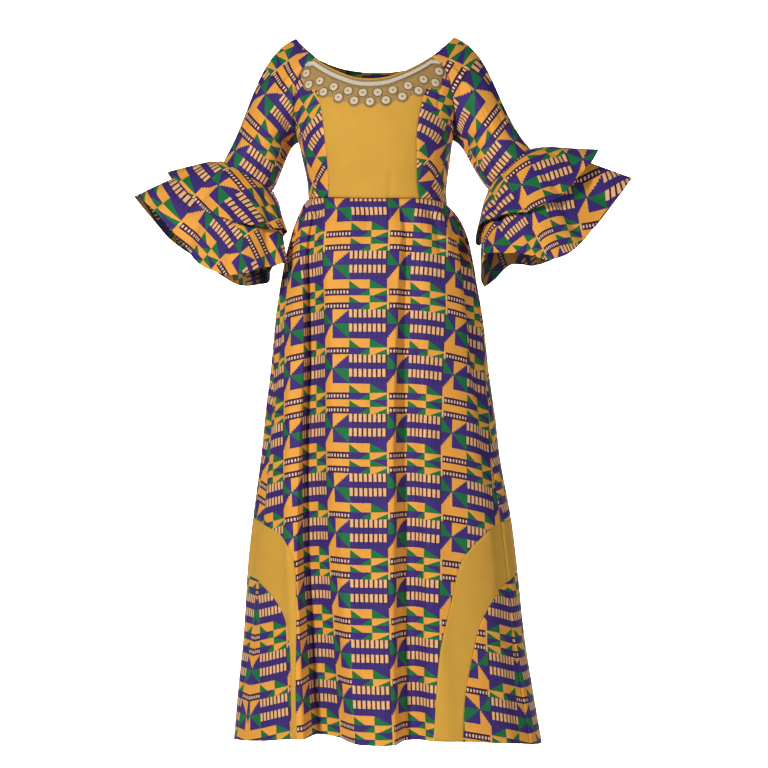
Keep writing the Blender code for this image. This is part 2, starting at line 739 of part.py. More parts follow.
def seam_place(share, side, back):
    """Place on the side seam, counted on past 180 degrees for the back of the left side."""
    angle = side * side_seam_angle(share, side)
    return (angle + 360 if back and side < 0 else angle), share


def arch_rows(edge, side, back):
    """Rows of a band's edge from the side seam down to the hem, in front of it or behind it."""
    seam = LEFT_SEAM_HEM if side < 0 else RIGHT_SEAM_HEM
    if back:
        return [row for row in edge if row.angle >= seam]
    return [row for row in reversed(edge) if row.angle <= seam]


def arch_line(edge, side, back):
    """Places on a band's edge from its top on the side seam to the hem."""
    rows = arch_rows(edge, side, back)
    knots = [k / (len(rows) - 1) for k in range(len(rows))]
    line = [seam_place(rows[0].share, side, back)]
    for k in range(1, ARCH_STEPS + 1):
        angle = side * curve_value(knots, column(rows, "angle"), k / ARCH_STEPS)
        share = curve_value(knots, column(rows, "share"), k / ARCH_STEPS)
        line.append((angle + 360 if back and side < 0 else angle, share))
    return line


def seam_line(top, bottom, side, back):
    """Places down the side seam between two shares, both ends included."""
    between = [share for share in SKIRT_LEVELS if top + 0.01 < share < bottom - 0.01]
    return [seam_place(share, side, back) for share in [top] + between + [bottom]]


def level_line(first, last):
    """Places along the waist or the hem between two ends, evenly spaced."""
    count = max(round(abs(last[0] - first[0]) / (SKIRT_SPACING * 0.8)), 1)
    return [(first[0] + (last[0] - first[0]) * k / count, first[1]) for k in range(count + 1)]


def fold_tracks():
    """Columns of the skirt: lines that run down with the folds, as angles at each level."""
    folds = sorted(FOLDS, key=lambda fold: fold.at_knee % 360)
    rows = []
    for share in SKIRT_LEVELS:
        lips = []
        for fold in folds:
            centre = fold_centre(fold, share)
            half = fold_half(fold, share)
            start = fold.at_knee % 360 - fold.at_knee
            lips.append([centre + start + half * step * fold_side(fold, step)
                         for step in FOLD_COLUMNS])
        rows.append(lips)
    tracks = []
    for k in range(len(folds)):
        tracks += [[row[k][step] for row in rows] for step in range(len(FOLD_COLUMNS))]
        gap_first = [row[k][-1] for row in rows]
        gap_last = [row[(k + 1) % len(folds)][0] + (360 if k + 1 == len(folds) else 0)
                    for row in rows]
        middle = len(rows) // 2
        count = max(int((gap_last[middle] - gap_first[middle]) / SKIRT_SPACING), 0)
        for n in range(1, count + 1):
            part = n / (count + 1)
            tracks.append([low + (high - low) * part for low, high in zip(gap_first, gap_last)])
    return tracks


def inside(outline, place):
    """Whether a place lies in an outline, by counting the edges that a line crosses."""
    x, y = place
    crossed = False
    for (ax, ay), (bx, by) in zip(outline, outline[1:] + outline[:1]):
        if (ay > y) != (by > y) and x < ax + (bx - ax) * (y - ay) / (by - ay):
            crossed = not crossed
    return crossed


def clear_of(outline, place, reach):
    """Whether a place keeps its distance from every edge of an outline."""
    spot = np.array(place)
    for a, b in zip(outline, outline[1:] + outline[:1]):
        a, b = np.array(a), np.array(b)
        t = np.clip((spot - a) @ (b - a) / max((b - a) @ (b - a), 1e-9), 0, 1)
        if np.linalg.norm(spot - a - (b - a) * t) < reach:
            return False
    return True


def skirt_mesh(name, outline, tracks):
    """Closed wall of one skirt piece: its outline, the columns inside it, and its thickness.
    Each outline entry is an angle, a share and whether the edge that follows it is a seam."""
    scale = np.array((1 / SKIRT_SPACING, SKIRT_PLAN_ROWS))
    flat = [tuple(np.array(place[:2]) * scale) for place in outline]
    middle = sum(place[0] for place in outline) / len(outline)
    places = [place[:2] for place in outline]
    for track in tracks:
        for angle, share in zip(track, SKIRT_LEVELS):
            angle = (angle - middle + 180) % 360 - 180 + middle
            spot = tuple(np.array((angle, share)) * scale)
            if inside(flat, spot) and clear_of(flat, spot, SKIRT_PLAN_MARGIN):
                places.append((angle, share))
    rim = len(outline)
    slanted = [Vector((angle * scale[0] + SKIRT_PLAN_SLANT * share * scale[1], share * scale[1]))
               for angle, share in places]
    loop = [(k, (k + 1) % rim) for k in range(rim)]
    _, _, triangles, origins, _, _ = delaunay_2d_cdt(slanted, loop, [], 1, 1e-7)
    faces = [[origins[corner][0] for corner in triangle] for triangle in triangles]
    normals = [place_normal(place) for place in places]
    points = [skirt_point(*place) for place in places]
    points[:rim] = draw_outline(points[:rim], normals[:rim], outline)
    shell = bmesh.new()
    outer = [shell.verts.new(point) for point in points]
    inner = [shell.verts.new(point - normal * CLOTH) for point, normal in zip(points, normals)]
    for a, b, c in faces:
        shell.faces.new((outer[a], outer[b], outer[c]))
        shell.faces.new((inner[c], inner[b], inner[a]))
    for a, b in loop:
        shell.faces.new((outer[a], inner[a], inner[b]))
        shell.faces.new((outer[a], inner[b], outer[b]))
    bmesh.ops.recalc_face_normals(shell, faces=shell.faces)
    mesh = bpy.data.meshes.new(name)
    shell.to_mesh(mesh)
    shell.free()
    return mesh


def place_normal(place):
    angle, share = place
    if share <= 0:
        return level_outward(skirt_plain_point, angle, 0.0)
    return skirt_normal(angle, share)


def draw_outline(points, normals, outline):
    """Outline points moved in from the seams by half a gap, and left where an edge is free."""
    count = len(points)
    area = sum(outline[k - 1][0] * outline[k][1] - outline[k][0] * outline[k - 1][1]
               for k in range(count))
    turn = 1.0 if area > 0 else -1.0
    moved = []
    for k in range(count):
        before = unit(points[k] - points[k - 1])
        after = unit(points[(k + 1) % count] - points[k])
        inward = [unit(np.cross(edge, normals[k])) * turn for edge in (before, after)]
        wanted = [SEAM_GAP / 2 if outline[edge][2] else 0.0 for edge in (k - 1, k)]
        step = np.linalg.lstsq(np.array(inward), np.array(wanted), rcond=0.05)[0]
        length = np.linalg.norm(step)
        if length > SEAM_GAP:
            step *= SEAM_GAP / length
        moved.append(points[k] + step)
    return moved


def joined(*lines):
    """Outline from lines of places; each line comes with whether it is a seam."""
    outline = []
    for places, is_seam in lines:
        outline += [(angle, share, is_seam) for angle, share in places[:-1]]
    return outline


def main_outline(back):
    """Front or back skirt: waist, side seams down to the bands, the bands' outer edges, hem."""
    near, far = (-1, 1) if not back else (1, -1)
    far_arch = arch_line(arches(far)[0], far, back)
    near_arch = arch_line(arches(near)[0], near, back)
    far_seam = seam_line(0.0, far_arch[0][1], far, back)
    near_seam = seam_line(0.0, near_arch[0][1], near, back)
    return joined((level_line(near_seam[0], far_seam[0]), True), (far_seam, True), (far_arch, True),
                  (level_line(far_arch[-1], near_arch[-1]), False), (near_arch[::-1], True),
                  (near_seam[::-1], True))


def band_outline(side, back):
    outer, inner = (arch_line(edge, side, back) for edge in arches(side))
    seam = seam_line(outer[0][1], inner[0][1], side, back)
    return joined((outer, True), (level_line(outer[-1], inner[-1]), False), (inner[::-1], True),
                  (seam[::-1], True))


def side_panel_outline(side, back):
    inner = arch_line(arches(side)[1], side, back)
    seam = seam_line(inner[0][1], 1.0, side, back)
    return joined((inner, True), (level_line(inner[-1], seam[-1]), False), (seam[::-1], True))


def arches(side):
    return ((LEFT_ARCH_OUTER, LEFT_ARCH_INNER) if side < 0 else (RIGHT_ARCH_OUTER, RIGHT_ARCH_INNER))


def build_skirt(collection):
    tracks = fold_tracks()
    outlines = {"skirt_front": main_outline(False), "skirt_back": main_outline(True)}
    for side, hand in ((-1, "left"), (1, "right")):
        for back, face in ((False, "front"), (True, "back")):
            outlines["arch_band_%s_%s" % (face, hand)] = band_outline(side, back)
            outlines["side_panel_%s_%s" % (face, hand)] = side_panel_outline(side, back)
    for name, outline in outlines.items():
        finish = GOLD_CLOTH if name.startswith("arch_band") else PRINT
        add_piece(name, skirt_mesh(name, outline, tracks), finish, collection)


def rim_row(side, turn):
    table = LEFT_RIM if side < 0 else RIGHT_RIM
    places = column(table, "turn")
    values = [round_value(places, column(table, name), turn) for name in Rim._fields[1:]]
    return np.array(values[:3]), values[3], values[4]


def lower_tier_point(side, turn, share):
    """Point of the lower flounce, which flares from the cuff seam to its rim."""
    start = cuff_point(side, turn)
    rim, _, _ = rim_row(side, turn)
    _, _, axis, _ = cuff_frame(side)
    radial = cuff_radial(side, turn)
    flare = math.radians(FLARE)
    leave = axis * math.cos(flare) + radial * math.sin(flare)
    arrive = unit(unit(rim - start) + axis * RIM_DROOP)
    point = bezier(start, start + leave * FLARE_REACH, rim - arrive * RIM_REACH, rim, share)
    begin = LEFT_RUFFLE_TURN if side < 0 else RIGHT_RUFFLE_TURN
    wave = math.sin(math.radians(RUFFLES * turn + begin))
    return point + radial * wave * RUFFLE_DEPTH * share ** 2


def lower_tier_normal(side, turn, share):
    if share <= 0:
        return cuff_radial(side, turn)
    low, high = max(share - 0.02, 0.0), min(share + 0.02, 1.0)
    across = lower_tier_point(side, turn + 1, share) - lower_tier_point(side, turn - 1, share)
    down = lower_tier_point(side, turn, high) - lower_tier_point(side, turn, low)
    return unit(np.cross(down, across)) * -side


def build_flounces():
    """Upper and lower tier of each sleeve as closed tubes of points."""
    panels = {}
    turns = [360.0 * k / FLOUNCE_STEPS for k in range(FLOUNCE_STEPS)]
    for side, hand in ((-1, "left"), (1, "right")):
        lower = empty_panel(LOWER_TIER_ROWS + 1, FLOUNCE_STEPS)
        for i in range(LOWER_TIER_ROWS + 1):
            share = i / LOWER_TIER_ROWS
            for j, turn in enumerate(turns):
                lower.points[i, j] = lower_tier_point(side, turn, share)
                lower.normals[i, j] = lower_tier_normal(side, turn, share)
        upper = empty_panel(UPPER_TIER_ROWS + 1, FLOUNCE_STEPS)
        for i in range(UPPER_TIER_ROWS + 1):
            part = i / UPPER_TIER_ROWS
            for j, turn in enumerate(turns):
                _, cover, lift = rim_row(side, turn)
                share = UPPER_TIER_START + (cover - UPPER_TIER_START) * part
                normal = lower_tier_normal(side, turn, share)
                stand = UPPER_TIER_STAND * smooth_step(part / UPPER_TIER_STAND_BY)
                off = CLOTH + LAY_GAP + stand + lift * part ** 2
                upper.points[i, j] = lower_tier_point(side, turn, share) + normal * off
                upper.normals[i, j] = normal
        panels["lower_flounce_" + hand] = lower
        panels["upper_flounce_" + hand] = upper
    return panels


def rosette_mesh(name):
    """Round cabochon with a raised centre bead, its back flat."""
    r = ROSETTE_RADIUS
    rings = ((r, 0.0), (r, ROSETTE_DOME), (r * ROSETTE_SEAT_SHARE, ROSETTE_SEAT_RISE))
    solid = bmesh.new()
    loops = []
    for radius, height in rings:
        loop = []
        for k in range(ROSETTE_SIDES):
            angle = 2 * math.pi * k / ROSETTE_SIDES
            loop.append(solid.verts.new((radius * math.cos(angle), radius * math.sin(angle), height)))
        loops.append(loop)
    tip = solid.verts.new((0.0, 0.0, ROSETTE_BEAD))
    solid.faces.new(loops[0][::-1])
    for low, high in zip(loops, loops[1:]):
        for k in range(ROSETTE_SIDES):
            n = (k + 1) % ROSETTE_SIDES
            solid.faces.new((low[k], low[n], high[n], high[k]))
    for k in range(ROSETTE_SIDES):
        solid.faces.new((loops[-1][k], loops[-1][(k + 1) % ROSETTE_SIDES], tip))
    mesh = bpy.data.meshes.new(name)
    solid.to_mesh(mesh)
    solid.free()
    return mesh


def bodice_angle(x, height):
    """Angle at which the bodice has a sideways place x."""
    share = min(abs(x) / section_at(BODICE, height).half_width, 1.0)
    return math.copysign(math.degrees(math.asin(share ** (BODICE_ROUNDNESS / 2))), x)


def build_rosettes(collection):
    number = 0
    for row in ROSETTE_ROWS:
        for k in range(row.count):
            x = row.first + (row.last - row.first) * k / (row.count - 1)
            height = row.height + row.rise * x * x
            place = (bodice_angle(x, height), height)
            normal = bodice_normal(*place)
            across = unit(np.cross((0.0, 0.0, 1.0), normal))
            seat = bodice_point(*place) + normal * LAY_GAP
            columns = np.column_stack((across, np.cross(normal, across), normal, seat))
            number += 1
            name = "rosette_%02d" % number
            piece = add_piece(name, rosette_mesh(name), BEAD, collection)
            piece.matrix_world = Matrix([list(line) for line in columns] + [[0, 0, 0, 1]])


def trim_panel(bodice, top_share, bottom_share, off):
    """Strip along the front neck from the panels' own points, from one armhole to the other."""
    pieces = [bodice[name] for name in ("side_front_left", "front_yoke", "side_front_right")]
    points = np.concatenate([piece.points[:2, (k > 0):] for k, piece in enumerate(pieces)], axis=1)
    normals = np.concatenate([piece.normals[:2, (k > 0):] for k, piece in enumerate(pieces)], axis=1)
    for end, inner in ((0, 1), (-1, -2)):
        points[:, end] += (points[:, inner] - points[:, end]) * TRIM_END_SHARE
        normals[:, end] = normals[:, inner]
    strip = empty_panel(2, points.shape[1])
    for i, share in enumerate((top_share, bottom_share)):
        strip.normals[i] = [unit(n) for n in normals[0] * (1 - share) + normals[1] * share]
        strip.points[i] = points[0] * (1 - share) + points[1] * share + strip.normals[i] * off
    return strip


def build_trim(bodice, collection):
    lace_top = LAY_GAP + TRIM_THICK
    lace = trim_panel(bodice, 0.0, 1.0, lace_top)
    add_piece("neck_trim", wall_mesh("neck_trim", lace, TRIM_THICK), LACE, collection)
    braid = trim_panel(bodice, BRAID_TOP_SHARE, BRAID_BOTTOM_SHARE, lace_top + LAY_GAP + BRAID_THICK)
    add_piece("ivory_braid", wall_mesh("ivory_braid", braid, BRAID_THICK), IVORY, collection)


def main():
    for thing in list(bpy.data.objects):
        bpy.data.objects.remove(thing)
    collection = bpy.data.collections.new("ankara_dress")
    bpy.context.scene.collection.children.link(collection)
    sleeves, seam_normals = build_sleeves()
    bodice = build_bodice(seam_normals)
    build_trim(bodice, collection)
    for name, panel in bodice.items():
        panel.drawn_in(SEAM_GAP / 2, bottom=True, first=True, last=True)
        finish = GOLD_CLOTH if name == "front_yoke" else PRINT
        add_piece(name, wall_mesh(name, panel, CLOTH), finish, collection)
    for side, hand in ((-1, "left"), (1, "right")):
        name = "sleeve_" + hand
        close_edges(sleeves[side], SEAM_GAP / 2, (0, -1))
        add_piece(name, wall_mesh(name, sleeves[side], CLOTH, closed=True), PRINT, collection)
    build_skirt(collection)
    for name, panel in build_flounces().items():
        if name.startswith("lower"):
            close_edges(panel, SEAM_GAP / 2, (0,))
        add_piece(name, wall_mesh(name, panel, CLOTH, closed=True), PRINT, collection)
    build_rosettes(collection)


main()
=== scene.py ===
import math
from collections import namedtuple

import bmesh
import bpy
import numpy as np
from mathutils import Matrix, Vector


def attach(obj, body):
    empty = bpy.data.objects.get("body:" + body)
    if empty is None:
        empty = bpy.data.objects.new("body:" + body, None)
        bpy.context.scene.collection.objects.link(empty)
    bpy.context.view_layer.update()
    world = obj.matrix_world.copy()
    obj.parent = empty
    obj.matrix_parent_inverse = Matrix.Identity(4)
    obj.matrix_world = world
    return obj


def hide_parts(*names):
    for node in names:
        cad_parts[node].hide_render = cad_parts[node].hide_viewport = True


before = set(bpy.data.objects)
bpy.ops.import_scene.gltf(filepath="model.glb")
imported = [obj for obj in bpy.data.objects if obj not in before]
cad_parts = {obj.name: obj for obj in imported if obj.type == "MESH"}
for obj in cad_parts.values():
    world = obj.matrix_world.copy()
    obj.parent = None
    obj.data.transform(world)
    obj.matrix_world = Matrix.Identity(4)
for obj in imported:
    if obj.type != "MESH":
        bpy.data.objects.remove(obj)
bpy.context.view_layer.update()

# Skirt front and back
# The long A-line skirt of wax print cotton, cut in two gores with a wide flare and gathered
# into the waist seam. It falls in a few deep folds that open towards the hem.

# Rings round the body by height: half the width, the depth in front and behind, and how far the
# middle lies to the wearer's left
Level = namedtuple("Level", "height half_width front back centre")
SKIRT_LEVELS = (
    Level(-1.374, 0.3020, 0.205, 0.225, 0.023),
    Level(-1.280, 0.2900, 0.200, 0.217, 0.019),
    Level(-1.170, 0.2757, 0.194, 0.208, 0.016),
    Level(-1.030, 0.2640, 0.187, 0.197, 0.013),
    Level(-0.937, 0.2530, 0.182, 0.190, 0.0125),
    Level(-0.820, 0.2345, 0.175, 0.180, 0.0095),
    Level(-0.740, 0.2260, 0.170, 0.174, 0.009),
    Level(-0.650, 0.2140, 0.163, 0.168, 0.008),
    Level(-0.549, 0.2035, 0.158, 0.161, 0.0075),
    Level(-0.484, 0.1930, 0.152, 0.153, 0.007),
    Level(-0.430, 0.1835, 0.146, 0.144, 0.0075),
    Level(-0.383, 0.1715, 0.138, 0.132, 0.0085),
    Level(-0.350, 0.1575, 0.127, 0.117, 0.0075),
    Level(-0.333, 0.1470, 0.118, 0.105, 0.005),
    Level(-0.322, 0.1365, 0.108, 0.095, 0.004),
)
WAIST = -0.322
HEM = -1.374
# Heights of the waist seam and of the hem by angle round the body
WAIST_RISE = ((0, -0.3245), (45, -0.3235), (90, -0.3285), (135, -0.3255), (180, -0.3225),
              (225, -0.3200), (270, -0.3165), (315, -0.3195))
HEM_RISE = ((0, -1.347), (20, -1.340), (45, -1.350), (90, -1.374), (180, -1.374), (270, -1.374),
            (310, -1.356), (335, -1.341))
SKIRT_ROUNDNESS = 2.1
BODICE_ROUNDNESS = 2.3

# Folds of the skirt: the angle of each at four shares of the skirt's length, its half width in
# degrees at waist and hem, its depth at three of the shares, and its lean. A fold that leans has
# a steep first side and a wide second side and is tucked straight back; the others go in towards
# the middle of the body
Fold = namedtuple("Fold", "waist hip knee hem half_waist half_hem deep_hip deep_knee deep_hem lean")
FOLD_SHARES = (0.0, 0.18, 0.52, 1.0)
FOLDS = (
    Fold(-48, -37, -31, -21.5, 9, 11, 0.026, 0.036, 0.056, 0.55),
    Fold(20, 16, 12, 9, 8, 7, 0.016, 0.025, 0.038, 0.50),
    Fold(70, 66, 64, 62, 8, 9, 0.014, 0.004, 0.004, 0.0),
    Fold(-69, -66, -66, -66, 7, 9, 0.006, 0.003, 0.004, 0.0),
    Fold(152, 154, 156, 158, 9, 11, 0.014, 0.022, 0.042, 0.0),
    Fold(190, 188, 187, 186, 8, 8, 0.007, 0.012, 0.022, 0.0),
    Fold(222, 219, 216, 213, 9, 11, 0.014, 0.020, 0.040, 0.0),
)
FOLD_SQUARENESS = 1.4
GATHERS = 17
GATHER_DEPTH = 0.0045
GATHER_START = 0.03
GATHER_END = 0.15
GATHER_TURN = 40
SETTLED = 0.33

# Small creases: where each starts and ends, by angle round the body and by share of the piece's
# length, with its half width in degrees and its depth; a ridge has a depth below 0
Crease = namedtuple("Crease", "angle share end_angle end_share half depth")
SKIRT_CREASES = (
    Crease(-60, 0.005, -57, 0.20, 3.2, 0.0030),
    Crease(-41, 0.004, -34, 0.13, 2.6, 0.0040),
    Crease(-30, 0.003, -27, 0.09, 2.2, 0.0022),
    Crease(-14, 0.003, -12, 0.16, 3.0, 0.0026),
    Crease(-3, 0.004, -3, 0.10, 2.4, 0.0018),
    Crease(8, 0.003, 8, 0.13, 2.6, 0.0024),
    Crease(18, 0.002, 15, 0.24, 2.2, 0.0040),
    Crease(31, 0.003, 29, 0.12, 2.6, 0.0026),
    Crease(43, 0.004, 41, 0.17, 3.0, 0.0032),
    Crease(57, 0.004, 52, 0.14, 2.8, 0.0034),
    Crease(68, 0.010, 58, 0.30, 2.6, 0.0046),
    Crease(-9, 0.30, -8, 1.00, 9.0, -0.0060),
    Crease(-16, 0.42, -13, 0.98, 3.0, 0.0030),
    Crease(27, 0.22, 24, 0.95, 7.0, -0.0040),
    Crease(-52, 0.10, -28, 1.00, 6.0, -0.0070),
    Crease(12, 0.10, 2, 1.00, 6.0, -0.0064),
    Crease(105, 0.004, 107, 0.14, 3.0, 0.0032),
    Crease(122, 0.004, 124, 0.18, 3.2, 0.0036),
    Crease(140, 0.003, 141, 0.12, 2.6, 0.0026),
    Crease(163, 0.003, 162, 0.15, 2.8, 0.0030),
    Crease(176, 0.004, 176, 0.10, 2.4, 0.0022),
    Crease(201, 0.003, 200, 0.16, 2.8, 0.0030),
    Crease(213, 0.003, 212, 0.12, 2.6, 0.0026),
    Crease(236, 0.004, 234, 0.17, 3.0, 0.0034),
    Crease(252, 0.004, 250, 0.13, 2.8, 0.0030),
    Crease(173, 0.30, 172, 1.00, 8.0, -0.0050),
    Crease(201, 0.34, 200, 1.00, 6.0, -0.0044),
    Crease(130, 0.30, 131, 0.95, 6.0, 0.0040),
    Crease(238, 0.30, 237, 0.95, 6.0, 0.0036),
)

# The side seams, by angle from centre front at the waist and below the hips, and the arched bands
# that cross them: their upper and lower edges as places by angle and by share of the skirt's
# length, from the front hem over the side to the back hem
LEFT, RIGHT = -1, 1
SIDES = ((LEFT, "left"), (RIGHT, "right"))
WAIST_SEAM = 84.0
SIDE_SEAM = {LEFT: 60.0, RIGHT: 68.0}
SEAM_BEND = 0.625
ARCH_TOP = {
    LEFT: ((29.2, 1.0), (30.6, 0.863), (32.0, 0.745), (33.1, 0.691), (36.2, 0.652), (45.5, 0.621),
           (60.0, 0.602), (75.0, 0.592), (90.0, 0.588), (104.0, 0.597), (116.0, 0.625),
           (124.0, 0.680), (129.0, 0.780), (134.0, 1.0)),
    RIGHT: ((18.6, 1.0), (23.6, 0.847), (29.8, 0.759), (35.1, 0.688), (41.5, 0.651), (55.0, 0.613),
            (68.0, 0.594), (80.0, 0.585), (92.0, 0.581), (105.0, 0.590), (117.0, 0.620),
            (126.0, 0.680), (132.0, 0.780), (138.0, 1.0)),
}
ARCH_FOOT = {
    LEFT: ((32.0, 1.0), (33.0, 0.893), (34.2, 0.837), (38.4, 0.779), (47.0, 0.736), (60.0, 0.706),
           (75.0, 0.697), (90.0, 0.694), (101.0, 0.712), (111.0, 0.755), (117.0, 0.830),
           (122.5, 1.0)),
    RIGHT: ((30.0, 1.0), (33.5, 0.915), (39.4, 0.837), (45.8, 0.777), (59.0, 0.721), (68.0, 0.703),
            (80.0, 0.688), (92.0, 0.684), (103.0, 0.700), (113.0, 0.750), (120.0, 0.830),
            (126.5, 1.0)),
}


def curve(places, values, at):
    """Values on a smooth curve through the given places, held level past either end."""
    places = np.asarray(places, float)
    values = np.asarray(values, float)
    at = np.clip(at, places[0], places[-1])
    i = np.clip(np.searchsorted(places, at, side="right") - 1, 0, len(places) - 2)
    slope = np.empty(len(places))
    slope[1:-1] = (values[2:] - values[:-2]) / (places[2:] - places[:-2])
    slope[0] = (values[1] - values[0]) / (places[1] - places[0])
    slope[-1] = (values[-1] - values[-2]) / (places[-1] - places[-2])
    step = places[i + 1] - places[i]
    t = (at - places[i]) / step
    start = values[i] * (2 * t ** 3 - 3 * t ** 2 + 1) + slope[i] * step * (t ** 3 - 2 * t ** 2 + t)
    end = values[i + 1] * (3 * t ** 2 - 2 * t ** 3) + slope[i + 1] * step * (t ** 3 - t ** 2)
    return start + end


def closed_curve(places, values, at):
    """Values on a smooth curve that closes on itself after a full turn of 360 degrees."""
    places = np.asarray(places, float)
    values = np.asarray(values, float)
    around = np.concatenate((places[-2:] - 360, places, places[:2] + 360))
    wrapped = np.concatenate((values[-2:], values, values[:2]))
    return curve(around, wrapped, (np.asarray(at, float) - places[0]) % 360 + places[0])


def soft(t):
    """An even ease from 0 to 1."""
    t = np.clip(t, 0.0, 1.0)
    return t * t * (3 - 2 * t)


def column(rows, name):
    return np.array([getattr(row, name) for row in rows])


def body_ring(levels, level, angle, roundness, height):
    """Points of a rounded ring round the body; the angle runs from centre front to the left."""
    rows = sorted(levels, key=lambda row: row.height)
    places = column(rows, "height")
    half_width, front, back, centre = (curve(places, column(rows, name), level)
                                       for name in Level._fields[1:])
    s, c = np.sin(np.radians(angle)), np.cos(np.radians(angle))
    x = centre + half_width * np.copysign(np.abs(s) ** (2 / roundness), s)
    depth = np.where(c > 0, front, back)
    y = -depth * np.copysign(np.abs(c) ** (2 / roundness), c)
    return np.stack(np.broadcast_arrays(x, y, height), axis=-1)


def unit(vectors):
    """The same directions with a length of 1."""
    return vectors / np.maximum(np.linalg.norm(vectors, axis=-1, keepdims=True), 1e-12)


def waist_height(angle):
    return closed_curve(*zip(*WAIST_RISE), angle)


def hem_height(angle):
    return closed_curve(*zip(*HEM_RISE), angle)


def crease_depth(creases, angle, share):
    """Depth of all the small creases of a piece. One that reaches the foot keeps its depth there,
    and any other is soft at both ends."""
    depth = np.zeros(np.broadcast(angle, share).shape)
    for crease in creases:
        span = crease.end_share - crease.share
        t = (share - crease.share) / span
        centre = crease.angle + (crease.end_angle - crease.angle) * np.clip(t, 0, 1)
        away = (angle - centre + 180) % 360 - 180
        across = np.exp(-(away / (crease.half * 0.6)) ** 2)
        if crease.end_share >= 0.9:
            fade = soft(t / 0.4)
        else:
            fade = soft(t / 0.18) * (1 - soft((t - 0.55) / 0.45))
        depth += crease.depth * across * fade
    return depth


def skirt_depth(angle, share):
    """How far the skirt lies behind its plain ring, from the folds, gathers and creases, and how
    far it is tucked straight back by the folds that lean."""
    depth = np.zeros(np.broadcast(angle, share).shape)
    tucked = np.zeros(depth.shape)
    for fold in FOLDS:
        centre = curve(FOLD_SHARES, (fold.waist, fold.hip, fold.knee, fold.hem), share)
        half = fold.half_waist + (fold.half_hem - fold.half_waist) * share
        deep = curve(FOLD_SHARES, (0.0, fold.deep_hip, fold.deep_knee, fold.deep_hem), share)
        away = (angle - centre + 180) % 360 - 180
        t = np.abs(away) / (half * np.where(away < 0, 1 - fold.lean, 1 + fold.lean))
        shape = 0.5 * (1 + np.cos(math.pi * np.minimum(t, 1.0) ** FOLD_SQUARENESS))
        if fold.lean:
            tucked += deep * shape
        else:
            depth += deep * shape
    rise = soft(share / GATHER_START) * (1 - soft(share / GATHER_END))
    depth += GATHER_DEPTH * rise * (1 + np.cos(np.radians(GATHERS * angle + GATHER_TURN)))
    return depth + crease_depth(SKIRT_CREASES, angle, share), tucked


def plain_skirt(angle, share):
    """Point of the skirt before its folds, at an angle and a share of its length."""
    top = waist_height(angle)
    height = top + (hem_height(angle) - top) * share
    settled = soft(share / SETTLED)
    roundness = BODICE_ROUNDNESS + (SKIRT_ROUNDNESS - BODICE_ROUNDNESS) * settled
    return body_ring(SKIRT_LEVELS, WAIST + (HEM - WAIST) * share, angle, roundness, height)


def skirt_point(angle, share):
    """Point of the skirt's cloth with all its folds, gathers and creases."""
    angle, share = np.broadcast_arrays(np.asarray(angle, float), np.asarray(share, float))
    along = plain_skirt(angle + 0.5, share) - plain_skirt(angle - 0.5, share)
    outward = unit(np.stack((along[..., 1], -along[..., 0], along[..., 2] * 0), axis=-1))
    depth, tucked = skirt_depth(angle, share)
    straight = np.array((0.0, 1.0, 0.0)) * tucked[..., None]
    return plain_skirt(angle, share) - outward * depth[..., None] + straight


# The flat cut of a skirt gore is a piece of a cone, and its print rows are straight in it
CONE_RADIUS = 1.02
SKIRT_LENGTH = 1.085
RING_SHARES = np.linspace(0, 1, 90)
RING_ANGLES = np.linspace(-100, 320, 1681)
ring_points = skirt_point(RING_ANGLES[None, :], RING_SHARES[:, None])
ring_steps = np.linalg.norm(np.diff(ring_points, axis=1), axis=2)
ring_arc = np.concatenate((np.zeros((len(RING_SHARES), 1)), np.cumsum(ring_steps, axis=1)), axis=1)


def arc_at(angle, share):
    """Length of cloth round the skirt to a place, folds and all."""
    row = np.clip(np.asarray(share) * (len(RING_SHARES) - 1), 0, len(RING_SHARES) - 1.001)
    spot = np.clip((angle - RING_ANGLES[0]) / (RING_ANGLES[1] - RING_ANGLES[0]),
                   0, len(RING_ANGLES) - 1.001)
    i, j = row.astype(int), spot.astype(int)
    a, b = row - i, spot - j
    low = ring_arc[i, j] * (1 - b) + ring_arc[i, j + 1] * b
    high = ring_arc[i + 1, j] * (1 - b) + ring_arc[i + 1, j + 1] * b
    return low * (1 - a) + high * a


def skirt_cloth_place(angle, share, middle):
    """Place in the flat gore, across from its centre line and down from the waist, in metres."""
    arc = arc_at(angle, share) - arc_at(np.full_like(angle, middle), share)
    radius = CONE_RADIUS + share * SKIRT_LENGTH
    turn = arc / radius
    return np.stack((radius * np.sin(turn), radius * np.cos(turn) - CONE_RADIUS), axis=-1)


def turned_to(side, back, angle):
    """The same angle on that side of the body, counted on past the back for the back pieces."""
    return side * angle + (360 if back and side == LEFT else 0)


def side_seam(side, back, share):
    low = SIDE_SEAM[side]
    return turned_to(side, back, WAIST_SEAM + (low - WAIST_SEAM) * soft(share / SEAM_BEND))


def arch_half(edges, side, back, count):
    """Places on an arch's edge, from the side seam down to the hem."""
    seam = SIDE_SEAM[side]
    rows = [row for row in edges[side] if (row[0] >= seam if back else row[0] <= seam)]
    rows = rows if back else rows[::-1]
    knots = np.linspace(0, 1, len(rows))
    t = np.linspace(0, 1, count)
    angle, share = (curve(knots, [row[field] for row in rows], t) for field in (0, 1))
    return turned_to(side, back, angle), share


def colour(red, green, blue):
    """A colour as the eye reads it, 0 to 255, in the linear values that a shader takes."""
    linear = [((v / 255 + 0.055) / 1.055) ** 2.4 if v > 10 else v / 255 / 12.92
              for v in (red, green, blue)]
    return (*linear, 1.0)


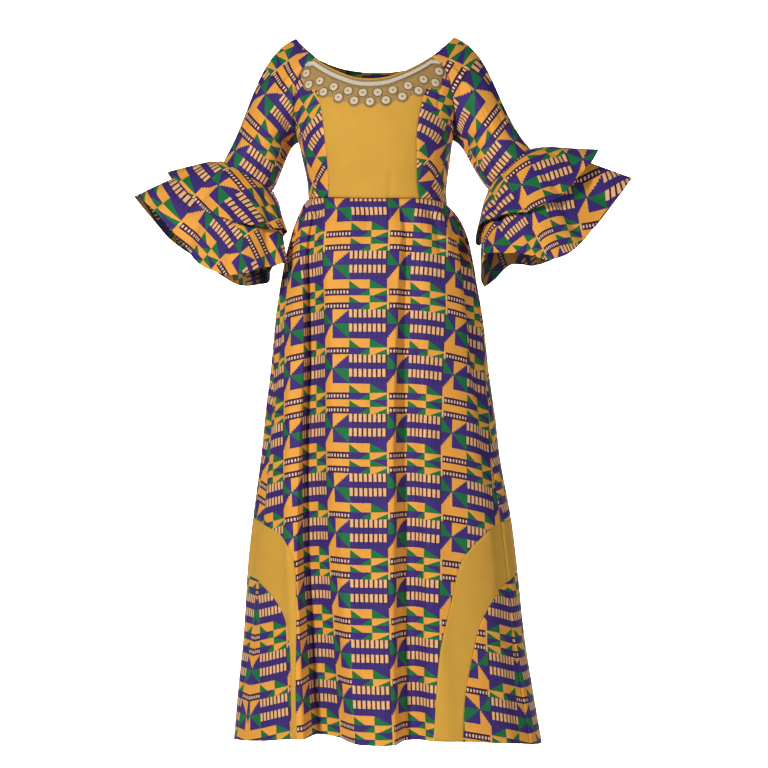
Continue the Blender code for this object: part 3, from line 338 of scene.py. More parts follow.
class Amount:
    """A number that varies over the cloth, worked out by shader nodes."""

    def __init__(self, socket):
        self.socket = socket

    def worked(self, operation, *others):
        node = self.socket.id_data.nodes.new("ShaderNodeMath")
        node.operation = operation
        for place, value in zip(node.inputs, (self, *others)):
            if isinstance(value, Amount):
                node.id_data.links.new(value.socket, place)
            else:
                place.default_value = value
        return Amount(node.outputs[0])

    def __add__(self, other):
        return self.worked("ADD", other)

    def __sub__(self, other):
        return self.worked("SUBTRACT", other)

    def __mul__(self, other):
        return self.worked("MULTIPLY", other)

    def __truediv__(self, other):
        return self.worked("DIVIDE", other)

    def __lt__(self, other):
        return self.worked("LESS_THAN", other)

    def __gt__(self, other):
        return self.worked("GREATER_THAN", other)

    def part(self):
        return self.worked("FRACT")

    def whole(self):
        return self.worked("FLOOR")

    def stepped(self, count):
        return ((self * count).whole() + 0.5) / count


def either(test, yes, no):
    """One amount where a test holds and the other where it doesn't."""
    tree = test.socket.id_data
    node = tree.nodes.new("ShaderNodeMix")
    for place, value in ((node.inputs[0], test), (node.inputs[3], yes), (node.inputs[2], no)):
        if isinstance(value, Amount):
            tree.links.new(value.socket, place)
        else:
            place.default_value = value
    return Amount(node.outputs[0])


# The print repeats every 127 mm across. Down the cloth it runs in blocks: a row with squares,
# stepped triangles and combs, a second such row turned about, then an orange row and a dotted
# row, which come twice in two blocks of three. Places across are shares of the repeat, places
# down are metres from the top of the block, and a tooth is a share of its own column
REPEAT = 0.127
TALL_BLOCK = 0.118
SHORT_BLOCK = 0.090
DOTS = 0.03
SQUARE = 0.177
COMB = 0.434
MIDDLE = 0.742
FIRST_ROW = 0.0285
SECOND_ROW = 0.0580
ORANGE_ROW = 0.0760
DOTTED_ROW = 0.0900
ORANGE_AGAIN = 0.1040
DOT_COUNT = 8
COMB_TEETH = 8
TOOTH = 0.64
TOOTH_LENGTH = 0.0158
PURPLE, GREEN, ORANGE, PEACH, MAROON, CREAM, DEEP = range(7)
INKS = (colour(62, 40, 122), colour(16, 118, 60), colour(250, 172, 66), colour(250, 192, 132),
        colour(70, 22, 56), colour(248, 216, 190), colour(44, 24, 88))


def kente_ink(across, down):
    """Number of the ink at a place of the cloth, in metres across and down."""
    x = (across / REPEAT).part()
    cycle = TALL_BLOCK * 2 + SHORT_BLOCK
    y = (down / cycle).part() * cycle
    block = (y / TALL_BLOCK).whole()
    d = y - block * TALL_BLOCK
    in_square, in_zigzag = x < SQUARE, x < COMB
    square, zigzag = x / SQUARE, (x - SQUARE) / (COMB - SQUARE)
    teeth = ((x - COMB) / (1 - COMB) * COMB_TEETH).part()
    tooth = either(teeth < TOOTH, PEACH, MAROON)
    gap = either((teeth > 0.74) * (teeth < 0.88), DEEP, PURPLE)

    first = d / FIRST_ROW
    stairs = either((zigzag.stepped(8) + first) < 1.0, ORANGE, PURPLE)
    first_row = either(in_square, either(first > square, GREEN, PURPLE),
                       either(in_zigzag, stairs, either(d < TOOTH_LENGTH, tooth, gap)))

    d_second = d - FIRST_ROW
    second = d_second / (SECOND_ROW - FIRST_ROW)
    stairs = either((square.stepped(7) + second) > 1.0, ORANGE, PURPLE)
    second_row = either(in_square, stairs,
                        either(in_zigzag, either(second < zigzag, GREEN, PURPLE),
                               either(d_second < TOOTH_LENGTH, tooth, gap)))

    in_middle = x < MIDDLE
    middle = (x - COMB) / (MIDDLE - COMB)
    last = (x - MIDDLE) / (1 - MIDDLE)
    orange = either(d < ORANGE_ROW, (d - SECOND_ROW) / (ORANGE_ROW - SECOND_ROW),
                    (d - DOTTED_ROW) / (ORANGE_AGAIN - DOTTED_ROW))
    wedge = either(orange > (middle / 0.6 + 0.1), GREEN, ORANGE)
    orange_row = either(in_zigzag, ORANGE,
                        either(in_middle, wedge, either(orange > last, GREEN, PURPLE)))

    dotted = either(d < DOTTED_ROW, (d - ORANGE_ROW) / (DOTTED_ROW - ORANGE_ROW),
                    (d - ORANGE_AGAIN) / (TALL_BLOCK - ORANGE_AGAIN))
    spots = ((x - DOTS) / (COMB - DOTS) * DOT_COUNT).part()
    spot = (spots > 0.27) * (spots < 0.73) * (dotted > 0.30) * (dotted < 0.72)
    wedge = either((dotted + (middle - 0.45) / 0.55) > 1.0, GREEN, PURPLE)
    tail = either((dotted + last) > 1.2, GREEN, ORANGE)
    dotted_row = either(in_zigzag, either(spot, CREAM, either(x < DOTS, ORANGE, MAROON)),
                        either(in_middle, wedge, tail))

    is_orange = either(d < ORANGE_ROW, 1.0, (d > DOTTED_ROW) * (d < ORANGE_AGAIN))
    lower = either(is_orange, orange_row, dotted_row)
    return either(d < FIRST_ROW, first_row, either(d < SECOND_ROW, second_row, lower))


def cloth_noise(tree, scale, detail):
    """Noise fixed to the flat cloth, so that it runs on over folds."""
    noise = tree.nodes.new("ShaderNodeTexNoise")
    noise.inputs["Scale"].default_value = scale
    noise.inputs["Detail"].default_value = detail
    tree.links.new(tree.nodes["Cloth place"].outputs[0], noise.inputs["Vector"])
    return noise.outputs["Fac"]


def weave(tree, shader, cloth, thread, height, strength):
    """Gives the cloth the bump of a plain weave of threads of that size, with slubs."""
    across, down = (Amount(s) for s in cloth)
    ribs = (across * (math.tau / thread)).worked("SINE") * (down * (math.tau / thread)).worked("SINE")
    slubs = Amount(cloth_noise(tree, 420, 3))
    bump = tree.nodes.new("ShaderNodeBump")
    bump.inputs["Strength"].default_value = strength
    bump.inputs["Distance"].default_value = height
    tree.links.new((ribs + slubs * 1.6).socket, bump.inputs["Height"])
    tree.links.new(bump.outputs["Normal"], shader.inputs["Normal"])


def cloth_material(name):
    """A new material with its shader, its tree and the cloth's own place in metres."""
    material = bpy.data.materials.new(name)
    material.use_nodes = True
    tree = material.node_tree
    shader = tree.nodes["Principled BSDF"]
    place = tree.nodes.new("ShaderNodeUVMap")
    place.uv_map = "cloth"
    place.name = "Cloth place"
    split = tree.nodes.new("ShaderNodeSeparateXYZ")
    tree.links.new(place.outputs[0], split.inputs[0])
    return material, tree, shader, (split.outputs[0], split.outputs[1])


def ranged(tree, value, low, high, from_low=0.0, from_high=1.0):
    """A value spread from one range over another."""
    level = tree.nodes.new("ShaderNodeMapRange")
    for name, limit in (("From Min", from_low), ("From Max", from_high), ("To Min", low),
                        ("To Max", high)):
        level.inputs[name].default_value = limit
    tree.links.new(value, level.inputs["Value"])
    return level.outputs[0]


def unevenly_toned(tree, shader, cloth_colour, scale, low, high):
    """Gives the cloth a colour that is a little uneven by noise, as dye takes on cotton. On the
    thread trims, the wider spread is also painted shade between the threads.
    """
    mixed = tree.nodes.new("ShaderNodeVectorMath")
    mixed.operation = "SCALE"
    tree.links.new(cloth_colour, mixed.inputs[0])
    tree.links.new(ranged(tree, cloth_noise(tree, scale, 5), low, high, 0.3, 0.7),
                   mixed.inputs["Scale"])
    tree.links.new(mixed.outputs[0], shader.inputs["Base Color"])


def worn(tree, shader, low, high):
    """Roughness that changes a little over the cloth, where it is pressed or brushed."""
    tree.links.new(ranged(tree, cloth_noise(tree, 60, 4), low, high), shader.inputs["Roughness"])


def wax_print(name, strength):
    """Wax print cotton. A strength below 1 darkens the whole print, and the reverse uses this as
    painted shade for the dark insides of the sleeves, flounces and skirt.
    """
    material, tree, shader, cloth = cloth_material(name)
    bleed = (Amount(cloth_noise(tree, 260, 2)) - 0.5) * 0.0016
    ink = kente_ink(Amount(cloth[0]) + bleed, Amount(cloth[1]) + bleed)
    palette = tree.nodes.new("ShaderNodeValToRGB")
    palette.color_ramp.interpolation = "CONSTANT"
    stops = palette.color_ramp.elements
    for number, tone in enumerate(INKS):
        stop = stops[number] if number < 2 else stops.new(number / len(INKS))
        stop.position = number / len(INKS)
        stop.color = tuple(v * strength for v in tone[:3]) + (1.0,)
    tree.links.new(((ink + 0.5) / len(INKS)).socket, palette.inputs["Fac"])
    unevenly_toned(tree, shader, palette.outputs["Color"], 34, 0.94, 1.04)
    weave(tree, shader, cloth, 0.0011, 0.00012, 0.5)
    worn(tree, shader, 0.54, 0.74)
    shader.inputs["Specular IOR Level"].default_value = 0.28
    shader.inputs["Sheen Weight"].default_value = 0.05
    return material


# The reverse is the same print at about a third of its colour. This is painted shade for the cloth's
# inside, which is printed alike on both sides.
PRINT_FACES = (wax_print("Wax print", 1.0), wax_print("Wax print reverse in painted shade", 0.34))


def grid_normals(points, closed=False):
    """Normals of a grid of points, away from the middle of the tube or of the body."""
    if closed:
        wide = np.concatenate((points[:, -2:-1], points, points[:, 1:2]), axis=1)
        across = wide[:, 2:] - wide[:, :-2]
    else:
        across = np.gradient(points, axis=1)
    normals = unit(np.cross(np.gradient(points, axis=0), across))
    middle = points.mean(axis=1, keepdims=True) if closed else np.zeros(3)
    away = points - middle
    if not closed:
        away = away * np.array((0.6, 1.0, 0.0))
    return normals if (normals * away).sum() > 0 else -normals


def pressed(points, depth, closed=False):
    """Points moved inwards along the cloth's own normals."""
    return points - grid_normals(points, closed) * depth[..., None]


def gaps_to_edges(points):
    """Distances of each point of a grid to its first and last column and its first and last row."""
    along = np.linalg.norm(np.diff(points, axis=1), axis=2)
    across = np.concatenate((np.zeros((len(points), 1)), np.cumsum(along, axis=1)), axis=1)
    steps = np.linalg.norm(np.diff(points, axis=0), axis=2)
    down = np.concatenate((np.zeros((1, points.shape[1])), np.cumsum(steps, axis=0)), axis=0)
    return across, across[:, -1:] - across, down, down[-1:] - down


SEAM_WIDTH = 0.0034
SEAM_DEPTH = 0.0013


def seamed(points, first=True, last=True, top=False, foot=True, free=False):
    """Turns the cloth in a little beside each seam, so that the seam shows as a fine line. The
    columns marked as free end on the hem and not on a seam."""
    gaps = list(gaps_to_edges(points))
    gaps[3] = np.where(free, 1.0, gaps[3])
    wanted = (first, last, top, foot)
    near = np.min([gap for gap, sewn_edge in zip(gaps, wanted) if sewn_edge], axis=0)
    return pressed(points, SEAM_DEPTH * (1 - soft(near / SEAM_WIDTH)))


def denser_ends(count, ends=0.006):
    """Even places from 0 to 1 with a few more close to both ends."""
    inner = np.linspace(ends, 1 - ends, count)
    edge = np.array((0.0, 0.15, 0.4, 0.7)) * ends
    return np.concatenate((edge, inner, 1 - edge[::-1]))


def placed(name, data):
    """A new object in the scene with that mesh, lamp or camera."""
    thing = bpy.data.objects.new(name, data)
    bpy.context.collection.objects.link(thing)
    return thing


CLOTH_THICK = 0.0011


def cloth_piece(name, points, places, faces, closed=False, thick=CLOTH_THICK):
    """A thin shell of cloth from a grid of points, with each point's place in the flat cloth.
    faces holds the material of the right side and that of the reverse, a darker copy that paints
    shade on the inside."""
    rows, columns = points.shape[:2]
    used = columns - 1 if closed else columns
    corner = np.arange(rows * used).reshape(rows, used)
    following = np.roll(corner, -1, axis=1) if closed else corner[:, 1:]
    current = corner if closed else corner[:, :-1]
    quads = np.stack((current[:-1], following[:-1], following[1:], current[1:]), axis=-1)
    quads = quads.reshape(-1, 4)
    at = np.stack((places[:-1, :-1], places[:-1, 1:], places[1:, 1:], places[1:, :-1]), axis=2)
    at = at.reshape(-1, 4, 2)
    middle = points[:, :used].reshape(-1, 3)
    a, b, d = (middle[quads[:, number]] for number in (0, 1, 3))
    normal = np.cross(b - a, d - a)
    if closed:
        row_middle = points.mean(axis=1, keepdims=True).repeat(used, axis=1).reshape(-1, 3)
        outward = (normal * (a - row_middle[quads[:, 0]])).sum() > 0
    else:
        away = middle.mean(axis=0) * np.array((0.6, 1.0, 0.0))
        outward = normal.mean(axis=0) @ away > 0
    if not outward:
        quads = quads[:, ::-1]
        at = at[:, ::-1]
    mesh = bpy.data.meshes.new(name)
    mesh.from_pydata(middle.tolist(), [], quads.tolist())
    layer = mesh.uv_layers.new(name="cloth")
    layer.data.foreach_set("uv", np.ascontiguousarray(at).ravel())
    mesh.polygons.foreach_set("use_smooth", np.ones(len(mesh.polygons), bool))
    for face in faces:
        mesh.materials.append(face)
    piece = placed(name, mesh)
    shell = piece.modifiers.new("Thickness", "SOLIDIFY")
    shell.thickness = thick
    shell.offset = -1
    # The inner faces take the reverse material, which is darkened as painted shade.
    shell.material_offset = len(faces) - 1
    shell.use_even_offset = False
    return piece


def sewn(piece, node):
    """Ties a finished piece to the dress: it rides on the root and stands for its CAD node."""
    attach(piece, "root")
    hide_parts(node)
    return piece


PRINT_START = 0.0985
PRINT_DROP = 0.0090
SKIRT_ROWS = 150
COLUMNS_PER_ARCH = 34
HEM_COLUMNS = 120


def skirt_gore(name, back):
    """The gore between the side seams, whose foot follows both arches and the hem between them."""
    near, far = (RIGHT, LEFT) if back else (LEFT, RIGHT)
    near_angle, near_share = arch_half(ARCH_TOP, near, back, COLUMNS_PER_ARCH)
    far_angle, far_share = arch_half(ARCH_TOP, far, back, COLUMNS_PER_ARCH)
    hem = np.linspace(near_angle[-1], far_angle[-1], HEM_COLUMNS)
    foot_angle = np.concatenate((near_angle, hem[1:-1], far_angle[::-1]))
    foot_share = np.concatenate((near_share, np.ones(HEM_COLUMNS - 2), far_share[::-1]))
    first, last = near_angle[0], far_angle[0]
    part = (foot_angle - first) / (last - first)
    share = denser_ends(SKIRT_ROWS, 0.0045)[:, None] * foot_share[None, :]
    starts, ends = side_seam(near, back, share), side_seam(far, back, share)
    angle = starts + (ends - starts) * part
    points = skirt_point(angle, share)
    places = skirt_cloth_place(angle, share, 180.0 if back else 0.0)
    places = places + np.array((PRINT_START, PRINT_DROP))
    on_hem = foot_share[None, :] > 0.9999
    return cloth_piece(name, seamed(points, top=True, free=on_hem), places,
                       PRINT_FACES)


skirt_front = sewn(skirt_gore("skirt_front_cloth", False), "skirt_front")
skirt_back = sewn(skirt_gore("skirt_back_cloth", True), "skirt_back")

# Arched bands and side panels
# Over each side of the hem, a plain gold cotton band bends up from the front hem, over the side
# seam and down to the back hem. The print inside each arch is cut on the slant, in a front and a
# back piece that meet at the side seam with their rows mirrored.

GOLD = colour(222, 168, 62)


def gold_cotton(name, strength):
    """Plain gold cotton with a fine close weave and a soft bloom. A strength below 1 darkens it, and
    the reverse uses this as painted shade.
    """
    material, tree, shader, cloth = cloth_material(name)
    tone = tree.nodes.new("ShaderNodeRGB")
    tone.outputs[0].default_value = tuple(v * strength for v in GOLD[:3]) + (1.0,)
    unevenly_toned(tree, shader, tone.outputs[0], 22, 0.97, 1.03)
    weave(tree, shader, cloth, 0.0009, 0.0001, 0.45)
    worn(tree, shader, 0.58, 0.76)
    shader.inputs["Specular IOR Level"].default_value = 0.22
    shader.inputs["Sheen Weight"].default_value = 0.08
    return material


# The reverse at half the gold is painted shade for the cloth's inside.
GOLD_FACES = (gold_cotton("Gold cotton", 1.0), gold_cotton("Gold cotton reverse in painted shade", 0.5))

BAND_ROWS = 90
BAND_COLUMNS = 26


def band_piece(name, side, back):
    outer_angle, outer_share = arch_half(ARCH_TOP, side, back, BAND_ROWS)
    inner_angle, inner_share = arch_half(ARCH_FOOT, side, back, BAND_ROWS)
    t = denser_ends(BAND_COLUMNS, 0.03)[None, :]
    angle = outer_angle[:, None] * (1 - t) + inner_angle[:, None] * t
    share = outer_share[:, None] * (1 - t) + inner_share[:, None] * t
    points = skirt_point(angle, share)
    places = skirt_cloth_place(angle, share, 180.0 if back else 0.0)
    return cloth_piece(name, seamed(points, top=True, foot=False), places,
                       GOLD_FACES)


PANEL_ROWS = 70
PANEL_COLUMNS = 60
PANEL_SLANT = {LEFT: 8.0, RIGHT: 7.0}


def slanted(across, down, slant, start):
    """Places in the flat cloth of a piece cut on the slant, by an angle in radians."""
    return np.stack((across * np.cos(slant) - down * np.sin(slant) + start[0],
                     down * np.cos(slant) + across * np.sin(slant) + start[1]), axis=-1)


def side_panel_piece(name, side, back):
    """Print under the arch, whose columns run down from the arch's edge to the hem."""
    top_angle, top_share = arch_half(ARCH_FOOT, side, back, PANEL_COLUMNS)
    t = denser_ends(PANEL_ROWS, 0.012)[:, None]
    share = top_share[None, :] + (1 - top_share[None, :]) * t
    angle = np.broadcast_to(top_angle[None, :], share.shape)
    points = skirt_point(angle, share)
    across = np.abs(arc_at(angle, share) - arc_at(side_seam(side, back, share), share))
    places = slanted(across, share * SKIRT_LENGTH, math.radians(PANEL_SLANT[side]), (0.03, -0.02))
    return cloth_piece(name, seamed(points, last=False, top=True, foot=False), places,
                       PRINT_FACES)


for side, hand in SIDES:
    for back, face in ((False, "front"), (True, "back")):
        band = band_piece("arched_band_%s_%s" % (face, hand), side, back)
        sewn(band, "arch_band_%s_%s" % (face, hand))
        panel = side_panel_piece("slanted_panel_%s_%s" % (face, hand), side, back)
        sewn(panel, "side_panel_%s_%s" % (face, hand))

# Bodice: yoke, side fronts and back
# A long plain gold yoke from neck to waist between two print side fronts, sewn with plain seams,
# and a plain one-piece back. The side fronts' rows rise towards the centre.

BODICE_LEVELS = (
    Level(-0.322, 0.1365, 0.108, 0.095, 0.004),
    Level(-0.290, 0.1365, 0.113, 0.096, 0.003),
    Level(-0.250, 0.1430, 0.122, 0.098, 0.002),
    Level(-0.204, 0.1515, 0.127, 0.102, 0.000),
    Level(-0.150, 0.1650, 0.120, 0.106, 0.000),
    Level(-0.100, 0.1720, 0.101, 0.104, 0.000),
    Level(-0.050, 0.1700, 0.076, 0.092, 0.000),
    Level(0.000, 0.1600, 0.040, 0.050, 0.000),
)
UNDERARM = -0.204
NECK_END = 38.3
NECK_CORNER = -0.048
FRONT_NECK = ((0, -0.0955), (8, -0.0922), (16, -0.0826), (22.5, -0.0735), (30, -0.0618),
              (NECK_END, NECK_CORNER))
BACK_NECK = ((0, -0.0520), (17, -0.0475), (30, -0.0400), (42.5, -0.0300))
FRONT_ARMHOLE = ((NECK_END, NECK_CORNER), (47, -0.0624), (53.6, -0.0762), (58, -0.095), (62, -0.1176),
                 (68, -0.1434), (78, -0.1785), (90, UNDERARM))
BACK_ARMHOLE = ((42.5, -0.030), (52, -0.050), (59, -0.070), (65, -0.100), (71, -0.130),
                (79, -0.165), (90, UNDERARM))
WAIST_BLEND = 0.07
YOKE_SEAM = ((35.0, -0.050), (33.8, -0.122), (32.4, -0.160), (32.7, -0.190), (34.3, -0.250),
             (37.0, WAIST))


def bodice_point(angle, level):
    blend = soft((WAIST + WAIST_BLEND - level) / WAIST_BLEND)
    height = level + (waist_height(angle) - WAIST) * blend
    return body_ring(BODICE_LEVELS, level, angle, BODICE_ROUNDNESS, height)


def seam_angle(edge, level):
    angles, heights = zip(*sorted(edge, key=lambda row: row[1]))
    return curve(heights, angles, level)


def armhole_angle(edge, level):
    return np.where(level <= UNDERARM, 90.0, seam_angle(edge, level))


def even_height(edge, angle):
    """Height of an even edge, given from its middle to one end."""
    rows = [(-place, height) for place, height in edge[:0:-1]] + list(edge)
    return curve(*zip(*rows), angle)


def bodice_grid(edges_at, neck, rows, columns):
    """Angles and levels of a panel between two seams, from the neck edge down to the waist."""
    t = denser_ends(columns, 0.02)[None, :]
    r = denser_ends(rows, 0.012)[:, None]
    level = np.full((r.size, t.size), -0.1)
    for _ in range(12):
        first, last = edges_at(level)
        angle = first + (last - first) * t
        top = even_height(neck, (angle + 180) % 360 - 180 if neck is FRONT_NECK else angle - 180)
        level = top + (WAIST - top) * r
    return angle, level


def spread_places(points, slant_top, slant_foot, start):
    """Places in the flat cloth of a nearly flat panel, with its rows turned by a slant that
    changes from the top to the foot."""
    across = gaps_to_edges(points)[0]
    middle = points.shape[1] // 2
    across = across - across[:, middle:middle + 1]
    down = -points[..., 2]
    slant = np.radians(slant_top + (slant_foot - slant_top) * (down / down.max()))
    return slanted(across, down, slant, start)


BODICE_CREASES = {
    "front_yoke": (
        Crease(-16, 0.78, -10, 1.0, 3.0, 0.0016),
        Crease(14, 0.74, 11, 1.0, 3.4, 0.0018),
        Crease(0, 0.30, 2, 0.70, 9.0, 0.0014),
    ),
    "side_front_left": (
        Crease(-80, 0.40, -52, 0.62, 4.0, 0.0036),
        Crease(-84, 0.62, -56, 0.80, 3.6, 0.0030),
        Crease(-60, 0.74, -50, 1.0, 3.2, 0.0022),
        Crease(-47, 0.10, -52, 0.44, 3.6, 0.0022),
    ),
    "side_front_right": (
        Crease(80, 0.42, 54, 0.60, 4.0, 0.0036),
        Crease(84, 0.66, 58, 0.84, 3.8, 0.0032),
        Crease(62, 0.76, 52, 1.0, 3.2, 0.0022),
        Crease(46, 0.12, 50, 0.48, 3.6, 0.0024),
    ),
    "back_bodice": (
        Crease(112, 0.40, 146, 0.60, 4.5, 0.0034),
        Crease(110, 0.66, 150, 0.84, 4.5, 0.0030),
        Crease(248, 0.42, 214, 0.62, 4.5, 0.0034),
        Crease(250, 0.68, 210, 0.86, 4.5, 0.0030),
        Crease(168, 0.70, 172, 1.0, 4.0, 0.0020),
        Crease(192, 0.72, 188, 1.0, 4.0, 0.0020),
    ),
}


def bodice_piece(name, node, edges_at, neck, size, print_cut, faces):
    """A panel of the bodice. print_cut holds its slant at top and foot and where its print starts."""
    angle, level = bodice_grid(edges_at, neck, *size)
    share = (level - level[:1]) / (level[-1:] - level[:1])
    points = bodice_point(angle, level)
    flat = spread_places(points, *print_cut)
    points = pressed(points, crease_depth(BODICE_CREASES[node], angle, share))
    return cloth_piece(name, seamed(points), flat, faces)


def yoke_edges(level):
    edge = seam_angle(YOKE_SEAM, level)
    return -edge, edge


def left_front_edges(level):
    return -armhole_angle(FRONT_ARMHOLE, level), -seam_angle(YOKE_SEAM, level)


def right_front_edges(level):
    return seam_angle(YOKE_SEAM, level), armhole_angle(FRONT_ARMHOLE, level)


def back_edges(level):
    edge = armhole_angle(BACK_ARMHOLE, level)
    return 180 - edge, 180 + edge


yoke = bodice_piece("gold_yoke", "front_yoke", yoke_edges, FRONT_NECK, (70, 56),
                    (0, 0, (0.0, 0.0)), GOLD_FACES)
sewn(yoke, "front_yoke")
left_front = bodice_piece("print_front_left", "side_front_left", left_front_edges, FRONT_NECK,
                          (70, 40), (36, 40, (0.055, 0.085)), PRINT_FACES)
sewn(left_front, "side_front_left")
right_front = bodice_piece("print_front_right", "side_front_right", right_front_edges, FRONT_NECK,
                           (70, 40), (-6, -34, (0.045, 0.075)), PRINT_FACES)
sewn(right_front, "side_front_right")
back_panel = bodice_piece("print_back", "back_bodice", back_edges, BACK_NECK, (76, 110),
                          (0, 0, (0.06, 0.02)), PRINT_FACES)
sewn(back_panel, "back_bodice")

# Sleeves
# Close print sleeves cut on the slant, set into slanted armholes that run up to the neck. The
# head of each sleeve is part of the neck edge, and its lower end is sewn to the flounces.

Cuff = namedtuple("Cuff", "shoulder outer inner radius_depth centre_depth")
CUFFS = {
    LEFT: Cuff((-0.157, 0.0, 0.002), (-0.2995, -0.241), (-0.2025, -0.299), 0.058, -0.010),
    RIGHT: Cuff((0.153, 0.0, 0.0), (0.3040, -0.223), (0.2210, -0.301), 0.058, -0.010),
}
# How the cloth of a sleeve sets out from the armhole, by turn round the sleeve, and how far its
# straight run into the cuff reaches back
Leave = namedtuple("Leave", "turn out depth down reach")
FRONT_LEAVE = [
    Leave(0, 0.080, 0.000, -0.030, 0.100),
    Leave(30, 0.075, 0.004, -0.022, 0.095),
    Leave(64, 0.060, 0.012, -0.008, 0.090),
    Leave(92, 0.052, 0.012, -0.012, 0.085),
    Leave(122, 0.046, 0.008, -0.030, 0.075),
    Leave(152, 0.033, 0.003, -0.022, 0.060),
    Leave(180, 0.022, 0.000, -0.004, 0.050),
]
SLEEVE_LEAVE = FRONT_LEAVE + [row._replace(turn=360 - row.turn, depth=-row.depth)
                              for row in FRONT_LEAVE[-2:0:-1]]
SLEEVE_SLANT_TOP = 24.0
SLEEVE_SLANT_FOOT = 7.0
SLEEVE_GIRTH = 0.060
SLEEVE_LENGTH = 0.27
NECK_BOW = 0.006
NECK_COLUMNS = 20
ARMHOLE_COLUMNS = 44
# Creases of the sleeves: turn round the sleeve from its outer side over the front, and share of
# its length
SLEEVE_CREASES = (
    Crease(150, 0.05, 96, 0.42, 9.0, 0.0050),
    Crease(168, 0.20, 118, 0.62, 9.0, 0.0046),
    Crease(176, 0.42, 128, 0.84, 8.0, 0.0040),
    Crease(110, 0.08, 70, 0.34, 8.0, 0.0030),
    Crease(66, 0.50, 92, 0.98, 8.0, 0.0034),
    Crease(36, 0.62, 48, 1.0, 7.0, 0.0030),
    Crease(120, 0.72, 112, 1.0, 7.0, 0.0030),
    Crease(12, 0.30, 20, 0.70, 9.0, 0.0026),
    Crease(212, 0.06, 262, 0.44, 9.0, 0.0050),
    Crease(196, 0.26, 244, 0.66, 9.0, 0.0044),
    Crease(188, 0.48, 232, 0.86, 8.0, 0.0038),
    Crease(292, 0.50, 268, 0.98, 8.0, 0.0034),
    Crease(322, 0.62, 312, 1.0, 7.0, 0.0030),
)


def cuff_of(side):
    """Centre, spread, axis and depth of the seam between a sleeve and its flounces."""
    cuff = CUFFS[side]
    outer, inner = (np.array((x, cuff.centre_depth, z)) for x, z in (cuff.outer, cuff.inner))
    spread = (outer - inner) / 2
    axis = unit(np.cross(np.array((0.0, 1.0, 0.0)), spread)) * side
    return (outer + inner) / 2, spread, (-axis if axis[2] > 0 else axis), cuff.radius_depth


def cuff_point(side, turn):
    """Point on the seam between a sleeve and its flounces, by turn round the arm."""
    centre, spread, _, depth = cuff_of(side)
    angle = np.radians(turn)[..., None]
    return centre + spread * np.cos(angle) - np.array((0.0, depth, 0.0)) * np.sin(angle)


def cuff_radial(side, turn):
    """Direction straight out from the arm at that point."""
    _, spread, _, depth = cuff_of(side)
    angle = np.radians(turn)[..., None]
    radial = unit(spread) * np.cos(angle) / np.linalg.norm(spread)
    return unit(radial - np.array((0.0, 1.0, 0.0)) * np.sin(angle) / depth)


def bezier(p0, p1, p2, p3, t):
    """Point on a smooth curve from p0 to p3 that leaves towards p1 and arrives from p2."""
    return p0 * (1 - t) ** 3 + p1 * 3 * t * (1 - t) ** 2 + p2 * 3 * t * t * (1 - t) + p3 * t ** 3


def armhole_points(edge, side, on_back, count):
    """Points down an armhole seam, from the neck to the underarm."""
    level = np.linspace(edge[0][1], UNDERARM, count)
    angle = armhole_angle(edge, level)
    return bodice_point(side * angle if not on_back else 180 - side * angle, level)


def sleeve_places(side, points):
    """Places in the flat sleeve: round the arm from its outer side, and down along the arm."""
    middle, spread, axis, _ = cuff_of(side)
    away = points - middle
    along = (away * axis).sum(axis=-1)
    outward = (away * unit(spread)).sum(axis=-1)
    around = np.arctan2(np.abs(points[..., 1] - middle[1]), outward) - math.pi / 2
    down = along + SLEEVE_LENGTH
    part = soft(down / SLEEVE_LENGTH)
    slant = np.radians(SLEEVE_SLANT_TOP + (SLEEVE_SLANT_FOOT - SLEEVE_SLANT_TOP) * part)
    return slanted(SLEEVE_GIRTH * around, down, -slant, (0.04, 0.02))


def travelled(points):
    """Length along a line of points, at each of them."""
    return np.concatenate(((0,), np.cumsum(np.linalg.norm(np.diff(points, axis=0), axis=1))))


def sleeve_piece(name, side):
    """A tube from the neck edge and armhole seams to the cuff, as curves along the arm."""
    apex = np.array(CUFFS[side].shoulder)

    def neck_edge(corner, count):
        middle = (apex + corner) / 2 + np.array((side, 0.0, 0.5)) * NECK_BOW
        control = 2 * middle - (apex + corner) / 2
        t = np.linspace(0, 1, count + 1)[:, None]
        return apex * (1 - t) ** 2 + control * 2 * t * (1 - t) + corner * t * t

    front = armhole_points(FRONT_ARMHOLE, side, False, ARMHOLE_COLUMNS)
    behind = armhole_points(BACK_ARMHOLE, side, True, ARMHOLE_COLUMNS)
    front_half = np.concatenate((neck_edge(front[0], NECK_COLUMNS)[:-1], front))
    back_half = np.concatenate((behind[::-1], neck_edge(behind[0], NECK_COLUMNS)[::-1][1:]))

    def turns(points, start, end):
        length = travelled(points)
        return start + (end - start) * length / length[-1]

    loop = np.concatenate((front_half, back_half[1:]))
    turn = np.concatenate((turns(front_half, 0, 180), turns(back_half, 180, 360)[1:]))
    out, depth, down, reach = (closed_curve(column(SLEEVE_LEAVE, "turn"),
                                            column(SLEEVE_LEAVE, field), turn)
                               for field in Leave._fields[1:])
    leave = np.stack((out * side, depth, down), axis=-1)
    end = cuff_point(side, turn)
    axis = cuff_of(side)[2]
    t = denser_ends(64, 0.015)[:, None, None]
    points = bezier(loop[None], (loop + leave)[None], (end - axis * reach[:, None])[None],
                    end[None], t)
    share = np.broadcast_to(t[..., 0], points.shape[:2])
    wide = np.broadcast_to(turn[None, :], share.shape)
    flat = sleeve_places(side, points)
    creased = crease_depth(SLEEVE_CREASES, wide, share)
    _, _, below_seam, above_cuff = gaps_to_edges(points)
    seam = np.minimum(above_cuff, np.where(np.abs(wide - 180) < 140, below_seam, 1.0))
    points = pressed(points, creased + SEAM_DEPTH * (1 - soft(seam / SEAM_WIDTH)), closed=True)
    return cloth_piece(name, points, flat, PRINT_FACES, closed=True)


